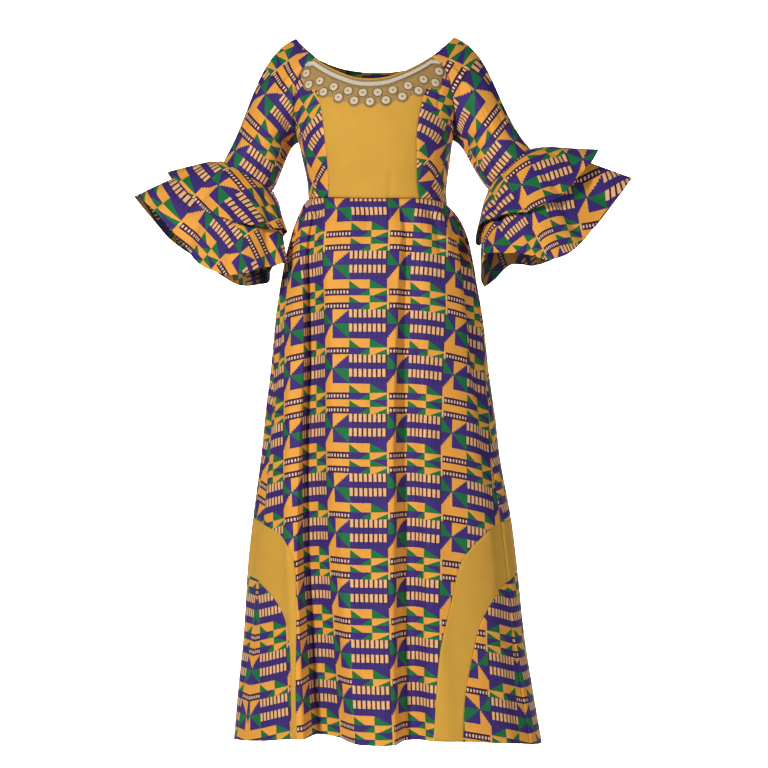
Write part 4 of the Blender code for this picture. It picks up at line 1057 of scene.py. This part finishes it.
for side, hand in SIDES:
    sleeve = sleeve_piece("print_sleeve_" + hand, side)
    sewn(sleeve, "sleeve_" + hand)

# Flounces
# Two tiers of print cut as part rings and sewn in at the end of each sleeve, the short one over
# the long one. They open like a bell, and their free edges wave.

# Free edge of the long tier by turn round the arm, with the share of it that the short tier
# covers there and how far the short tier's own edge lifts off it
Rim = namedtuple("Rim", "turn x y z share lift")
LEFT_RIM = (
    Rim(0, -0.477, 0.000, -0.311, 0.60, 0.010),
    Rim(22, -0.434, -0.055, -0.332, 0.60, 0.012),
    Rim(45, -0.375, -0.100, -0.397, 0.58, 0.010),
    Rim(68, -0.330, -0.132, -0.446, 0.56, 0.010),
    Rim(92, -0.281, -0.155, -0.468, 0.55, 0.012),
    Rim(116, -0.230, -0.160, -0.470, 0.57, 0.014),
    Rim(140, -0.187, -0.125, -0.452, 0.60, 0.008),
    Rim(162, -0.166, -0.098, -0.443, 0.62, 0.005),
    Rim(182, -0.184, -0.062, -0.450, 0.62, 0.005),
    Rim(206, -0.206, 0.005, -0.463, 0.60, 0.006),
    Rim(236, -0.236, 0.075, -0.475, 0.58, 0.010),
    Rim(268, -0.293, 0.120, -0.476, 0.57, 0.010),
    Rim(300, -0.372, 0.112, -0.425, 0.58, 0.012),
    Rim(328, -0.432, 0.082, -0.380, 0.60, 0.012),
)
RIGHT_RIM = (
    Rim(0, 0.494, 0.000, -0.284, 0.62, 0.024),
    Rim(25, 0.453, -0.060, -0.340, 0.60, 0.020),
    Rim(50, 0.410, -0.110, -0.401, 0.58, 0.012),
    Rim(74, 0.372, -0.145, -0.437, 0.56, 0.010),
    Rim(98, 0.335, -0.162, -0.446, 0.55, 0.010),
    Rim(122, 0.289, -0.160, -0.437, 0.56, 0.012),
    Rim(145, 0.245, -0.135, -0.427, 0.60, 0.010),
    Rim(165, 0.214, -0.088, -0.434, 0.62, 0.006),
    Rim(186, 0.203, -0.030, -0.462, 0.62, 0.006),
    Rim(208, 0.209, 0.035, -0.484, 0.60, 0.008),
    Rim(226, 0.231, 0.072, -0.470, 0.58, 0.010),
    Rim(244, 0.260, 0.098, -0.442, 0.57, 0.010),
    Rim(268, 0.308, 0.120, -0.441, 0.57, 0.010),
    Rim(298, 0.364, 0.122, -0.418, 0.58, 0.012),
    Rim(328, 0.434, 0.086, -0.362, 0.60, 0.016),
)
RIMS = {LEFT: LEFT_RIM, RIGHT: RIGHT_RIM}
FLARE = 52.0
FLARE_REACH = 0.045
RIM_REACH = 0.055
RUFFLES = 5
RUFFLE_DEPTH = 0.007
RUFFLE_TURN = {LEFT: 20, RIGHT: 75}
FLOUNCE_SLANT = {LEFT: 34.0, RIGHT: 0.0}
RING_RADIUS = 0.105
RING_TURN = 3.2
FLOUNCE_CREASES = (
    Crease(58, 0.05, 52, 1.0, 8.0, 0.0050),
    Crease(96, 0.05, 98, 1.0, 7.0, 0.0044),
    Crease(132, 0.05, 138, 1.0, 8.0, 0.0054),
    Crease(26, 0.10, 22, 1.0, 7.0, 0.0036),
    Crease(170, 0.08, 172, 1.0, 7.0, 0.0036),
    Crease(210, 0.05, 206, 1.0, 8.0, 0.0044),
    Crease(252, 0.05, 256, 1.0, 8.0, 0.0050),
    Crease(296, 0.05, 300, 1.0, 7.0, 0.0044),
    Crease(334, 0.08, 330, 1.0, 7.0, 0.0036),
)


def rim_of(side, turn):
    """Point on the long tier's free edge, and the short tier's share and lift there."""
    values = [closed_curve(column(RIMS[side], "turn"), column(RIMS[side], field), turn)
              for field in Rim._fields[1:]]
    return np.stack(values[:3], axis=-1), values[3], values[4]


def long_tier_point(side, turn, share):
    """Point of the long tier, which leaves the cuff at a flare and ends in a waved rim."""
    turn, share = np.broadcast_arrays(np.asarray(turn, float), np.asarray(share, float))
    start = cuff_point(side, turn)
    rim = rim_of(side, turn)[0]
    axis = cuff_of(side)[2]
    radial = cuff_radial(side, turn)
    leave = axis * math.cos(math.radians(FLARE)) + radial * math.sin(math.radians(FLARE))
    arrive = unit(unit(rim - start) + axis * 0.25)
    point = bezier(start, start + leave * FLARE_REACH, rim - arrive * RIM_REACH, rim,
                   share[..., None])
    wave = np.sin(np.radians(RUFFLES * turn + RUFFLE_TURN[side])) * RUFFLE_DEPTH * share ** 2
    return point + radial * wave[..., None]


def flounce_places(side, turn, length):
    """Places in the flat ring; its middle is at the front of the arm."""
    radius = RING_RADIUS + length
    at = np.radians(turn - 90) * RING_TURN / math.tau * -side
    across, down = radius * np.sin(at), radius * np.cos(at) - RING_RADIUS
    return slanted(across, down, -math.radians(FLOUNCE_SLANT[side]), (0.02, 0.03))


# The short tier starts a little below the seam, clear of the long one, and lifts off it
TIER_START = 0.02
TIER_GAP = 0.0019
TIER_LIFT = 0.004

turn = np.linspace(0, 360, 217)[None, :]
long_rows = denser_ends(56, 0.012)[:, None]
for side, hand in SIDES:
    plain = long_tier_point(side, turn, long_rows)
    length = gaps_to_edges(plain)[2]
    flat = flounce_places(side, turn, length)
    creased = crease_depth(FLOUNCE_CREASES, turn, long_rows)
    seam = SEAM_DEPTH * (1 - soft(length / SEAM_WIDTH))
    long_tier = cloth_piece("long_flounce_" + hand, pressed(plain, creased + seam, closed=True),
                            flat, PRINT_FACES, closed=True)
    sewn(long_tier, "lower_flounce_" + hand)

    _, cover, lift = rim_of(side, turn)
    part = denser_ends(34, 0.012)[:, None]
    share = TIER_START + (cover - TIER_START) * part
    under = long_tier_point(side, turn, share)
    normals = grid_normals(under, closed=True)
    off = TIER_GAP + TIER_LIFT * soft(part / 0.33) + lift * part ** 2
    over = under + normals * off[..., None]
    length = gaps_to_edges(over)[2]
    flat = flounce_places(side, turn, length) + np.array((0.0, 0.055))
    creased = crease_depth(FLOUNCE_CREASES, turn, share) * 0.9
    short_tier = cloth_piece("short_flounce_" + hand, pressed(over, creased, closed=True), flat,
                             PRINT_FACES, closed=True)
    sewn(short_tier, "upper_flounce_" + hand)

# Neck trim
# Along the front neck, from one armhole seam to the other: a turned edge of gold cotton, a strip
# of brown lace with a scalloped lower edge, and under it a fine brown net with small gold beads,
# cut round the rosettes that it holds.


def bodice_normal(angle, level, step):
    """Outward normal of the bodice, from places a small angle to either side."""
    along = bodice_point(angle + step, level) - bodice_point(angle - step, level)
    upward = bodice_point(angle, level + 0.001) - bodice_point(angle, level - 0.001)
    return unit(np.cross(along, upward))


def neck_height(angle):
    return even_height(FRONT_NECK, np.clip(angle, -NECK_END, NECK_END))


def neck_place(across, drop):
    """Point and normal of the bodice at a place along the front neck, -1 to 1, and at a drop
    below the neck edge."""
    across, drop = np.broadcast_arrays(np.asarray(across, float), np.asarray(drop, float))
    angle = across * (armhole_angle(FRONT_ARMHOLE, NECK_CORNER - drop) - 0.4)
    level = neck_height(angle) - drop
    return bodice_point(angle, level), bodice_normal(angle, level, 0.4)


def bodice_angle(x, height):
    """Angle round the bodice at a distance from its middle and a height."""
    rows = sorted(BODICE_LEVELS, key=lambda level: level.height)
    half = curve(column(rows, "height"), column(rows, "half_width"), height)
    reach = np.minimum(np.abs(x) / half, 1.0)
    return np.copysign(np.degrees(np.arcsin(reach ** (BODICE_ROUNDNESS / 2))), x)


def bodice_place(x, height):
    """Point and normal of the bodice at a distance from its middle and a height."""
    angle = bodice_angle(x, height)
    return bodice_point(angle, height), bodice_normal(angle, height, 0.5)


# Rows of rosettes: how many, from where to where, height at the middle and rise to the sides
RosetteRow = namedtuple("RosetteRow", "count first last height rise")
ROSETTE_ROWS = (
    RosetteRow(10, -0.1275, 0.1275, -0.1255, 2.85),
    RosetteRow(9, -0.1210, 0.1210, -0.1430, 2.75),
)
rosette_centres = [(x, row.height + row.rise * x * x) for row in ROSETTE_ROWS
                   for x in np.linspace(row.first, row.last, row.count)]


def thread_material(name, tone, sheen, roughness, grain):
    """Trim of thread: a colour broken at random by the twist of fine threads, with painted shade
    between them in the darker specks.
    """
    material, tree, shader, cloth = cloth_material(name)
    base = tree.nodes.new("ShaderNodeRGB")
    base.outputs[0].default_value = tone
    # The darker end of this spread is painted shade between the threads.
    unevenly_toned(tree, shader, base.outputs[0], 700, 0.78, 1.08)
    weave(tree, shader, cloth, grain, 0.00025, 0.7)
    worn(tree, shader, roughness - 0.08, roughness + 0.12)
    shader.inputs["Sheen Weight"].default_value = sheen
    return material


lace_thread = thread_material("Brown lace", colour(176, 144, 84), 0.1, 0.5, 0.0014)
lace_thread.node_tree.nodes["Principled BSDF"].inputs["Metallic"].default_value = 0.1
ivory_thread = thread_material("Ivory braid", colour(248, 234, 214), 0.1, 0.55, 0.0012)


def neck_strip(name, across, drop, off, faces, thick):
    """A strip along the neck, from its drop below the neck edge and its height off the cloth."""
    point, normal = neck_place(across, drop)
    points = point + normal * off[..., None]
    flat = np.stack(np.broadcast_arrays(gaps_to_edges(points)[0], drop), axis=-1)
    return cloth_piece(name, points, flat, faces, thick=thick)


EDGE_DROPS = np.array((0.0, 0.0005, 0.0012, 0.0022, 0.0032, 0.0038, 0.0042))[:, None]
EDGE_OFFS = np.array((0.0004, 0.0012, 0.0016, 0.0017, 0.0015, 0.0011, 0.0004))[:, None]
gold_edge = neck_strip("gold_neck_edge", np.linspace(-1, 1, 181)[None, :], EDGE_DROPS, EDGE_OFFS,
                       GOLD_FACES[:1], 0.0006)

# The lace's rows drop further in the middle of each scallop, the last row most
SCALLOPS = 58
LACE_START = 0.0034
LACE_DEPTH = 0.0158
lace_across = np.linspace(-1, 1, 601)[None, :]
lace_rows = np.linspace(0, 1, 9)[:, None]
scallop = np.abs(np.sin(lace_across * math.pi * SCALLOPS / 2))
lace_drop = LACE_START + lace_rows * (LACE_DEPTH + 0.0022 * scallop * lace_rows)
lace_rib = 0.0010 + 0.0004 * np.cos(lace_rows * math.tau * 4)
lace_strip = neck_strip("brown_lace_strip", lace_across, lace_drop, lace_rib, (lace_thread,), 0.0005)

NET_REACH = 0.0122
NET_PITCH = 0.0026
NET_TOP = 0.0165
NET_HALF = 0.1392


def net_material():
    """Fine brown net over gold cloth: threads that cross on the slant."""
    material, tree, shader, cloth = cloth_material("Brown net")
    across, down = Amount(cloth[0]), Amount(cloth[1])
    one = ((across + down) / NET_PITCH).part()
    other = ((across - down) / NET_PITCH).part()
    thread = either(one < 0.36, 1.0, other < 0.36)
    palette = tree.nodes.new("ShaderNodeValToRGB")
    palette.color_ramp.elements[0].color = colour(226, 182, 100)
    palette.color_ramp.elements[1].color = colour(150, 122, 76)
    tree.links.new(thread.socket, palette.inputs["Fac"])
    unevenly_toned(tree, shader, palette.outputs["Color"], 500, 0.86, 1.08)
    weave(tree, shader, cloth, 0.0012, 0.0002, 0.6)
    worn(tree, shader, 0.5, 0.7)
    return material


def net_cloth():
    """The net's own cloth, from under the lace down to a scallop round each rosette. Its foot
    follows the lower row of rosettes, and its ends stop at the armhole seams."""
    x = np.linspace(-NET_HALF, NET_HALF, 561)
    top = np.full(x.shape, -0.1)
    for _ in range(8):
        top = neck_height(bodice_angle(x, top + NET_TOP)) - NET_TOP
    armhole = np.interp(np.abs(x), (0.112, 0.130, 0.141), (NECK_CORNER, -0.0624, -0.0762))
    top = np.minimum(top, armhole - 0.003)
    lower = ROSETTE_ROWS[1]
    foot = lower.height - 0.004 + lower.rise * x * x
    foot = np.where(np.abs(x) > lower.last, top - 0.001, foot)
    for centre_x, centre_z in rosette_centres:
        away = np.minimum(np.abs(x - centre_x), NET_REACH)
        low = centre_z - np.sqrt(NET_REACH ** 2 - away ** 2)
        foot = np.where(away < NET_REACH, np.minimum(foot, low), foot)
    part = np.linspace(0, 1, 15)[:, None]
    height = top[None, :] * (1 - part) + foot[None, :] * part
    across = np.broadcast_to(x[None, :], height.shape)
    point, normal = bodice_place(across, height)
    flat = np.stack((gaps_to_edges(point)[0], -height), axis=-1)
    return cloth_piece("brown_net", point + normal * 0.0006, flat, (net_material(),), thick=0.0003)


net_ground = net_cloth()


def join_loops(shape, loops):
    """Faces between each ring of points and the next; the last ring may be one point."""
    for low, high in zip(loops, loops[1:]):
        for k in range(len(low)):
            n = (k + 1) % len(low)
            if len(high) == 1:
                shape.faces.new((low[k], low[n], high[0]))
            else:
                shape.faces.new((low[k], low[n], high[n], high[k]))


def add_bead(shape, centre, axes, radius, height, rings, sides):
    """A small rounded bead, its flat side on the cloth, from its place and its three axes."""
    first, second, normal = axes
    loops = []
    for ring in range(rings - 1):
        lean = math.pi * ring / (rings - 1) / 2
        level = centre + normal * (height * math.sin(lean))
        loops.append([shape.verts.new(level + radius * math.cos(lean) * (
            first * math.cos(math.tau * k / sides) + second * math.sin(math.tau * k / sides)))
            for k in range(sides)])
    loops.append([shape.verts.new(centre + normal * height)])
    join_loops(shape, loops)


def finished_mesh(name, shape, materials):
    bmesh.ops.recalc_face_normals(shape, faces=shape.faces)
    mesh = bpy.data.meshes.new(name)
    shape.to_mesh(mesh)
    shape.free()
    mesh.uv_layers.new(name="cloth")
    for material in materials:
        mesh.materials.append(material)
    mesh.polygons.foreach_set("use_smooth", np.ones(len(mesh.polygons), bool))
    return mesh


def speckled(name, scale, detail, stops, roughness):
    """A hard material with speckles from one colour to another, given as places and colours."""
    material = bpy.data.materials.new(name)
    material.use_nodes = True
    tree = material.node_tree
    shader = tree.nodes["Principled BSDF"]
    speckle = tree.nodes.new("ShaderNodeTexNoise")
    speckle.inputs["Scale"].default_value = scale
    speckle.inputs["Detail"].default_value = detail
    spread = tree.nodes.new("ShaderNodeValToRGB")
    for element, (position, tone) in zip(spread.color_ramp.elements, stops):
        element.position = position
        element.color = tone
    tree.links.new(speckle.outputs["Fac"], spread.inputs["Fac"])
    tree.links.new(spread.outputs["Color"], shader.inputs["Base Color"])
    shader.inputs["Roughness"].default_value = roughness
    return material, tree, shader, speckle


bead_gold, _, bead_shader, _ = speckled(
    "Gold beads", 900, 2, ((0.0, colour(112, 74, 30)), (1.0, colour(196, 150, 82))), 0.35)
bead_shader.inputs["Metallic"].default_value = 0.5

NET_BEADS = 62
net = bmesh.new()
for row, drop in enumerate(np.linspace(0.0225, 0.0485, 9)):
    across = (np.arange(NET_BEADS) + 0.5 * (row % 2) + 0.25) / NET_BEADS * 2 - 1
    centres, normals = neck_place(across * 0.985, drop)
    for centre, normal in zip(centres + normals * 0.0002, normals):
        first = unit(np.cross(normal, (0.0, 0.0, 1.0)))
        add_bead(net, centre, (first, np.cross(normal, first), normal), 0.0007, 0.00063, 3, 6)
bead_net = placed("bead_net", finished_mesh("bead_net", net, (bead_gold,)))
for piece in (gold_edge, lace_strip, net_ground, bead_net):
    sewn(piece, "neck_trim")

# Ivory braid
# Three ivory cords plaited flat and stitched along the brown lace, a little below the neck edge,
# from one armhole seam to the other.

STRAND = 0.0018
PLAIT = 0.018
BRAID_DROP = 0.0128
BRAID_SWAY = 0.0028
BRAID_LIFT = 0.0030
BRAID_CROSSING = 0.0008
STRAND_FLATNESS = 0.72


def braid_strand(shape, phase, steps=720, sides=8):
    """One cord of the plait, which sways across it once each turn and crosses over twice."""
    across = np.linspace(-1, 1, steps) * 0.995
    point, _ = neck_place(across, BRAID_DROP)
    angle = travelled(point) / PLAIT * math.tau + phase
    drop = BRAID_DROP + BRAID_SWAY * np.sin(angle)
    lift = BRAID_LIFT + BRAID_CROSSING * np.sin(2 * angle)
    point, normal = neck_place(across, drop)
    centre = point + normal * lift[:, None]
    forward = unit(np.gradient(centre, axis=0))
    sideways = unit(np.cross(normal, forward))
    upward = np.cross(forward, sideways)
    around = np.arange(sides) / sides * math.tau
    ring = (centre[:, None] + sideways[:, None] * (np.cos(around) * STRAND)[None, :, None]
            + upward[:, None] * (np.sin(around) * STRAND * STRAND_FLATNESS)[None, :, None])
    loops = [[shape.verts.new(corner) for corner in row] for row in ring]
    join_loops(shape, loops)
    shape.faces.new(loops[0][::-1])
    shape.faces.new(loops[-1])


plait = bmesh.new()
for k in range(3):
    braid_strand(plait, k * math.tau / 3)
braid = placed("plaited_braid", finished_mesh("plaited_braid", plait, (ivory_thread,)))
sewn(braid, "ivory_braid")

# Rosettes
# Nineteen cream rosettes in two staggered rows on the net. Each is a pressed disc with a raised
# ring and a gold bead at its centre, in a ring of small gold beads.

cream, tree, shader, speckle = speckled(
    "Cream rosette", 1200, 4, ((0.3, colour(196, 174, 138)), (0.7, colour(246, 232, 206))), 0.42)
place = tree.nodes.new("ShaderNodeTexCoord")
tree.links.new(place.outputs["Object"], speckle.inputs["Vector"])
bump = tree.nodes.new("ShaderNodeBump")
bump.inputs["Strength"].default_value = 0.4
bump.inputs["Distance"].default_value = 0.0002
tree.links.new(speckle.outputs["Fac"], bump.inputs["Height"])
tree.links.new(bump.outputs["Normal"], shader.inputs["Normal"])

ROSETTE_PROFILE = ((0.0080, 0.0000), (0.0081, 0.0008), (0.0076, 0.0014), (0.0068, 0.0013),
                   (0.0060, 0.0010), (0.0053, 0.0016), (0.0046, 0.0019), (0.0039, 0.0015),
                   (0.0030, 0.0012), (0.0022, 0.0014))
ROSETTE_RADIUS = 0.008
ROSETTE_SIDES = 36
PETALS = 12
RIM_BEADS = 16
RIM_BEAD = 0.0013
RIM_RADIUS = 0.0094
CENTRE_BEAD = 0.0020


def rosette_mesh():
    """A disc from its profile of radius and height, with the beads round its rim and its centre
    bead in the second material."""
    shape = bmesh.new()
    loops = []
    for radius, height in ROSETTE_PROFILE:
        loop = []
        for k in range(ROSETTE_SIDES):
            angle = math.tau * k / ROSETTE_SIDES
            r = radius * (1 + 0.03 * math.cos(PETALS * angle) * (radius / ROSETTE_RADIUS) ** 2)
            loop.append(shape.verts.new((r * math.cos(angle), r * math.sin(angle), height)))
        loops.append(loop)
    join_loops(shape, loops)
    shape.faces.new(loops[0][::-1])
    shape.faces.new(loops[-1])
    disc_faces = len(shape.faces)
    axes = np.eye(3)
    for k in range(RIM_BEADS):
        angle = math.tau * k / RIM_BEADS
        centre = np.array((RIM_RADIUS * math.cos(angle), RIM_RADIUS * math.sin(angle), 0.0))
        add_bead(shape, centre, axes, RIM_BEAD, RIM_BEAD, 4, 8)
    add_bead(shape, np.array((0.0, 0.0, 0.0012)), axes, CENTRE_BEAD, CENTRE_BEAD, 4, 8)
    shape.faces.ensure_lookup_table()
    for face in shape.faces[disc_faces:]:
        face.material_index = 1
    return finished_mesh("Rosette", shape, (cream, bead_gold))


rosette = rosette_mesh()
for number, (x, height) in enumerate(rosette_centres, start=1):
    point, normal = bodice_place(np.array(x), np.array(height))
    first = unit(np.cross((0.0, 0.0, 1.0), normal))
    second = np.cross(normal, first)
    piece = placed("cream_rosette_%02d" % number, rosette)
    spin = math.radians(37 * number)
    turned = first * math.cos(spin) + second * math.sin(spin)
    columns = np.column_stack((turned, np.cross(normal, turned), normal, point + normal * 0.0011))
    piece.matrix_world = Matrix([list(line) for line in columns] + [[0, 0, 0, 1]])
    sewn(piece, "rosette_%02d" % number)

# Stage, light and camera
# A plain white sweep well below and far behind the dress with its own light, one soft light from
# the front left, which shades the folds as in the photo, and a weaker one from the right.

bend = np.linspace(0.1, 1.55, 14)
sweep_y = np.concatenate((np.linspace(-2.0, 9.0, 12), 9.0 + 2.0 * np.sin(bend), np.full(10, 11.0)))
sweep_z = np.concatenate((np.full(12, -2.5), -0.5 - 2.0 * np.cos(bend), np.linspace(-0.4, 4.5, 10)))
sweep = bmesh.new()
lines = [[sweep.verts.new((x, y, z)) for y, z in zip(sweep_y, sweep_z)]
         for x in np.linspace(-5, 4, 10)]
for low, high in zip(lines, lines[1:]):
    for k in range(len(low) - 1):
        sweep.faces.new((low[k], low[k + 1], high[k + 1], high[k]))
white = speckled("White sweep", 3, 2, ((0.0, (0.90, 0.90, 0.90, 1)), (1.0, (0.93, 0.93, 0.93, 1))),
                 0.9)[0]
stage = placed("white_sweep", finished_mesh("white_sweep", sweep, (white,)))

world = bpy.data.worlds.new("Studio")
bpy.context.scene.world = world
world.use_nodes = True
world.node_tree.nodes["Background"].inputs["Color"].default_value = (1, 1, 1, 1)
world.node_tree.nodes["Background"].inputs["Strength"].default_value = 0.03


def soft_light(name, spot, aim, size, power):
    lamp = bpy.data.lights.new(name, "AREA")
    lamp.shape = "DISK"
    lamp.size = size
    lamp.energy = power
    holder = placed(name, lamp)
    holder.location = spot
    holder.rotation_euler = (Vector(aim) - Vector(spot)).to_track_quat("-Z", "Y").to_euler()


soft_light("Key light", (-2.5, -4.3, 0.7), (0.0, 0.0, -0.6), 0.6, 195)
soft_light("Fill light", (3.6, -3.2, -0.1), (0.0, 0.0, -0.8), 1.2, 72)
soft_light("Backdrop light", (-0.5, 5.6, 3.6), (-0.5, 11.0, -0.8), 4.0, 2600)

bpy.context.scene.view_settings.view_transform = "Standard"
camera = bpy.data.cameras.new("Camera")
camera.lens = 86.1
camera.sensor_width = 36
view = placed("Camera", camera)
view.location = (0.3301, -3.5863, -0.6782)
view.rotation_euler = (math.radians(90), 0, math.radians(5))
bpy.context.scene.camera = view
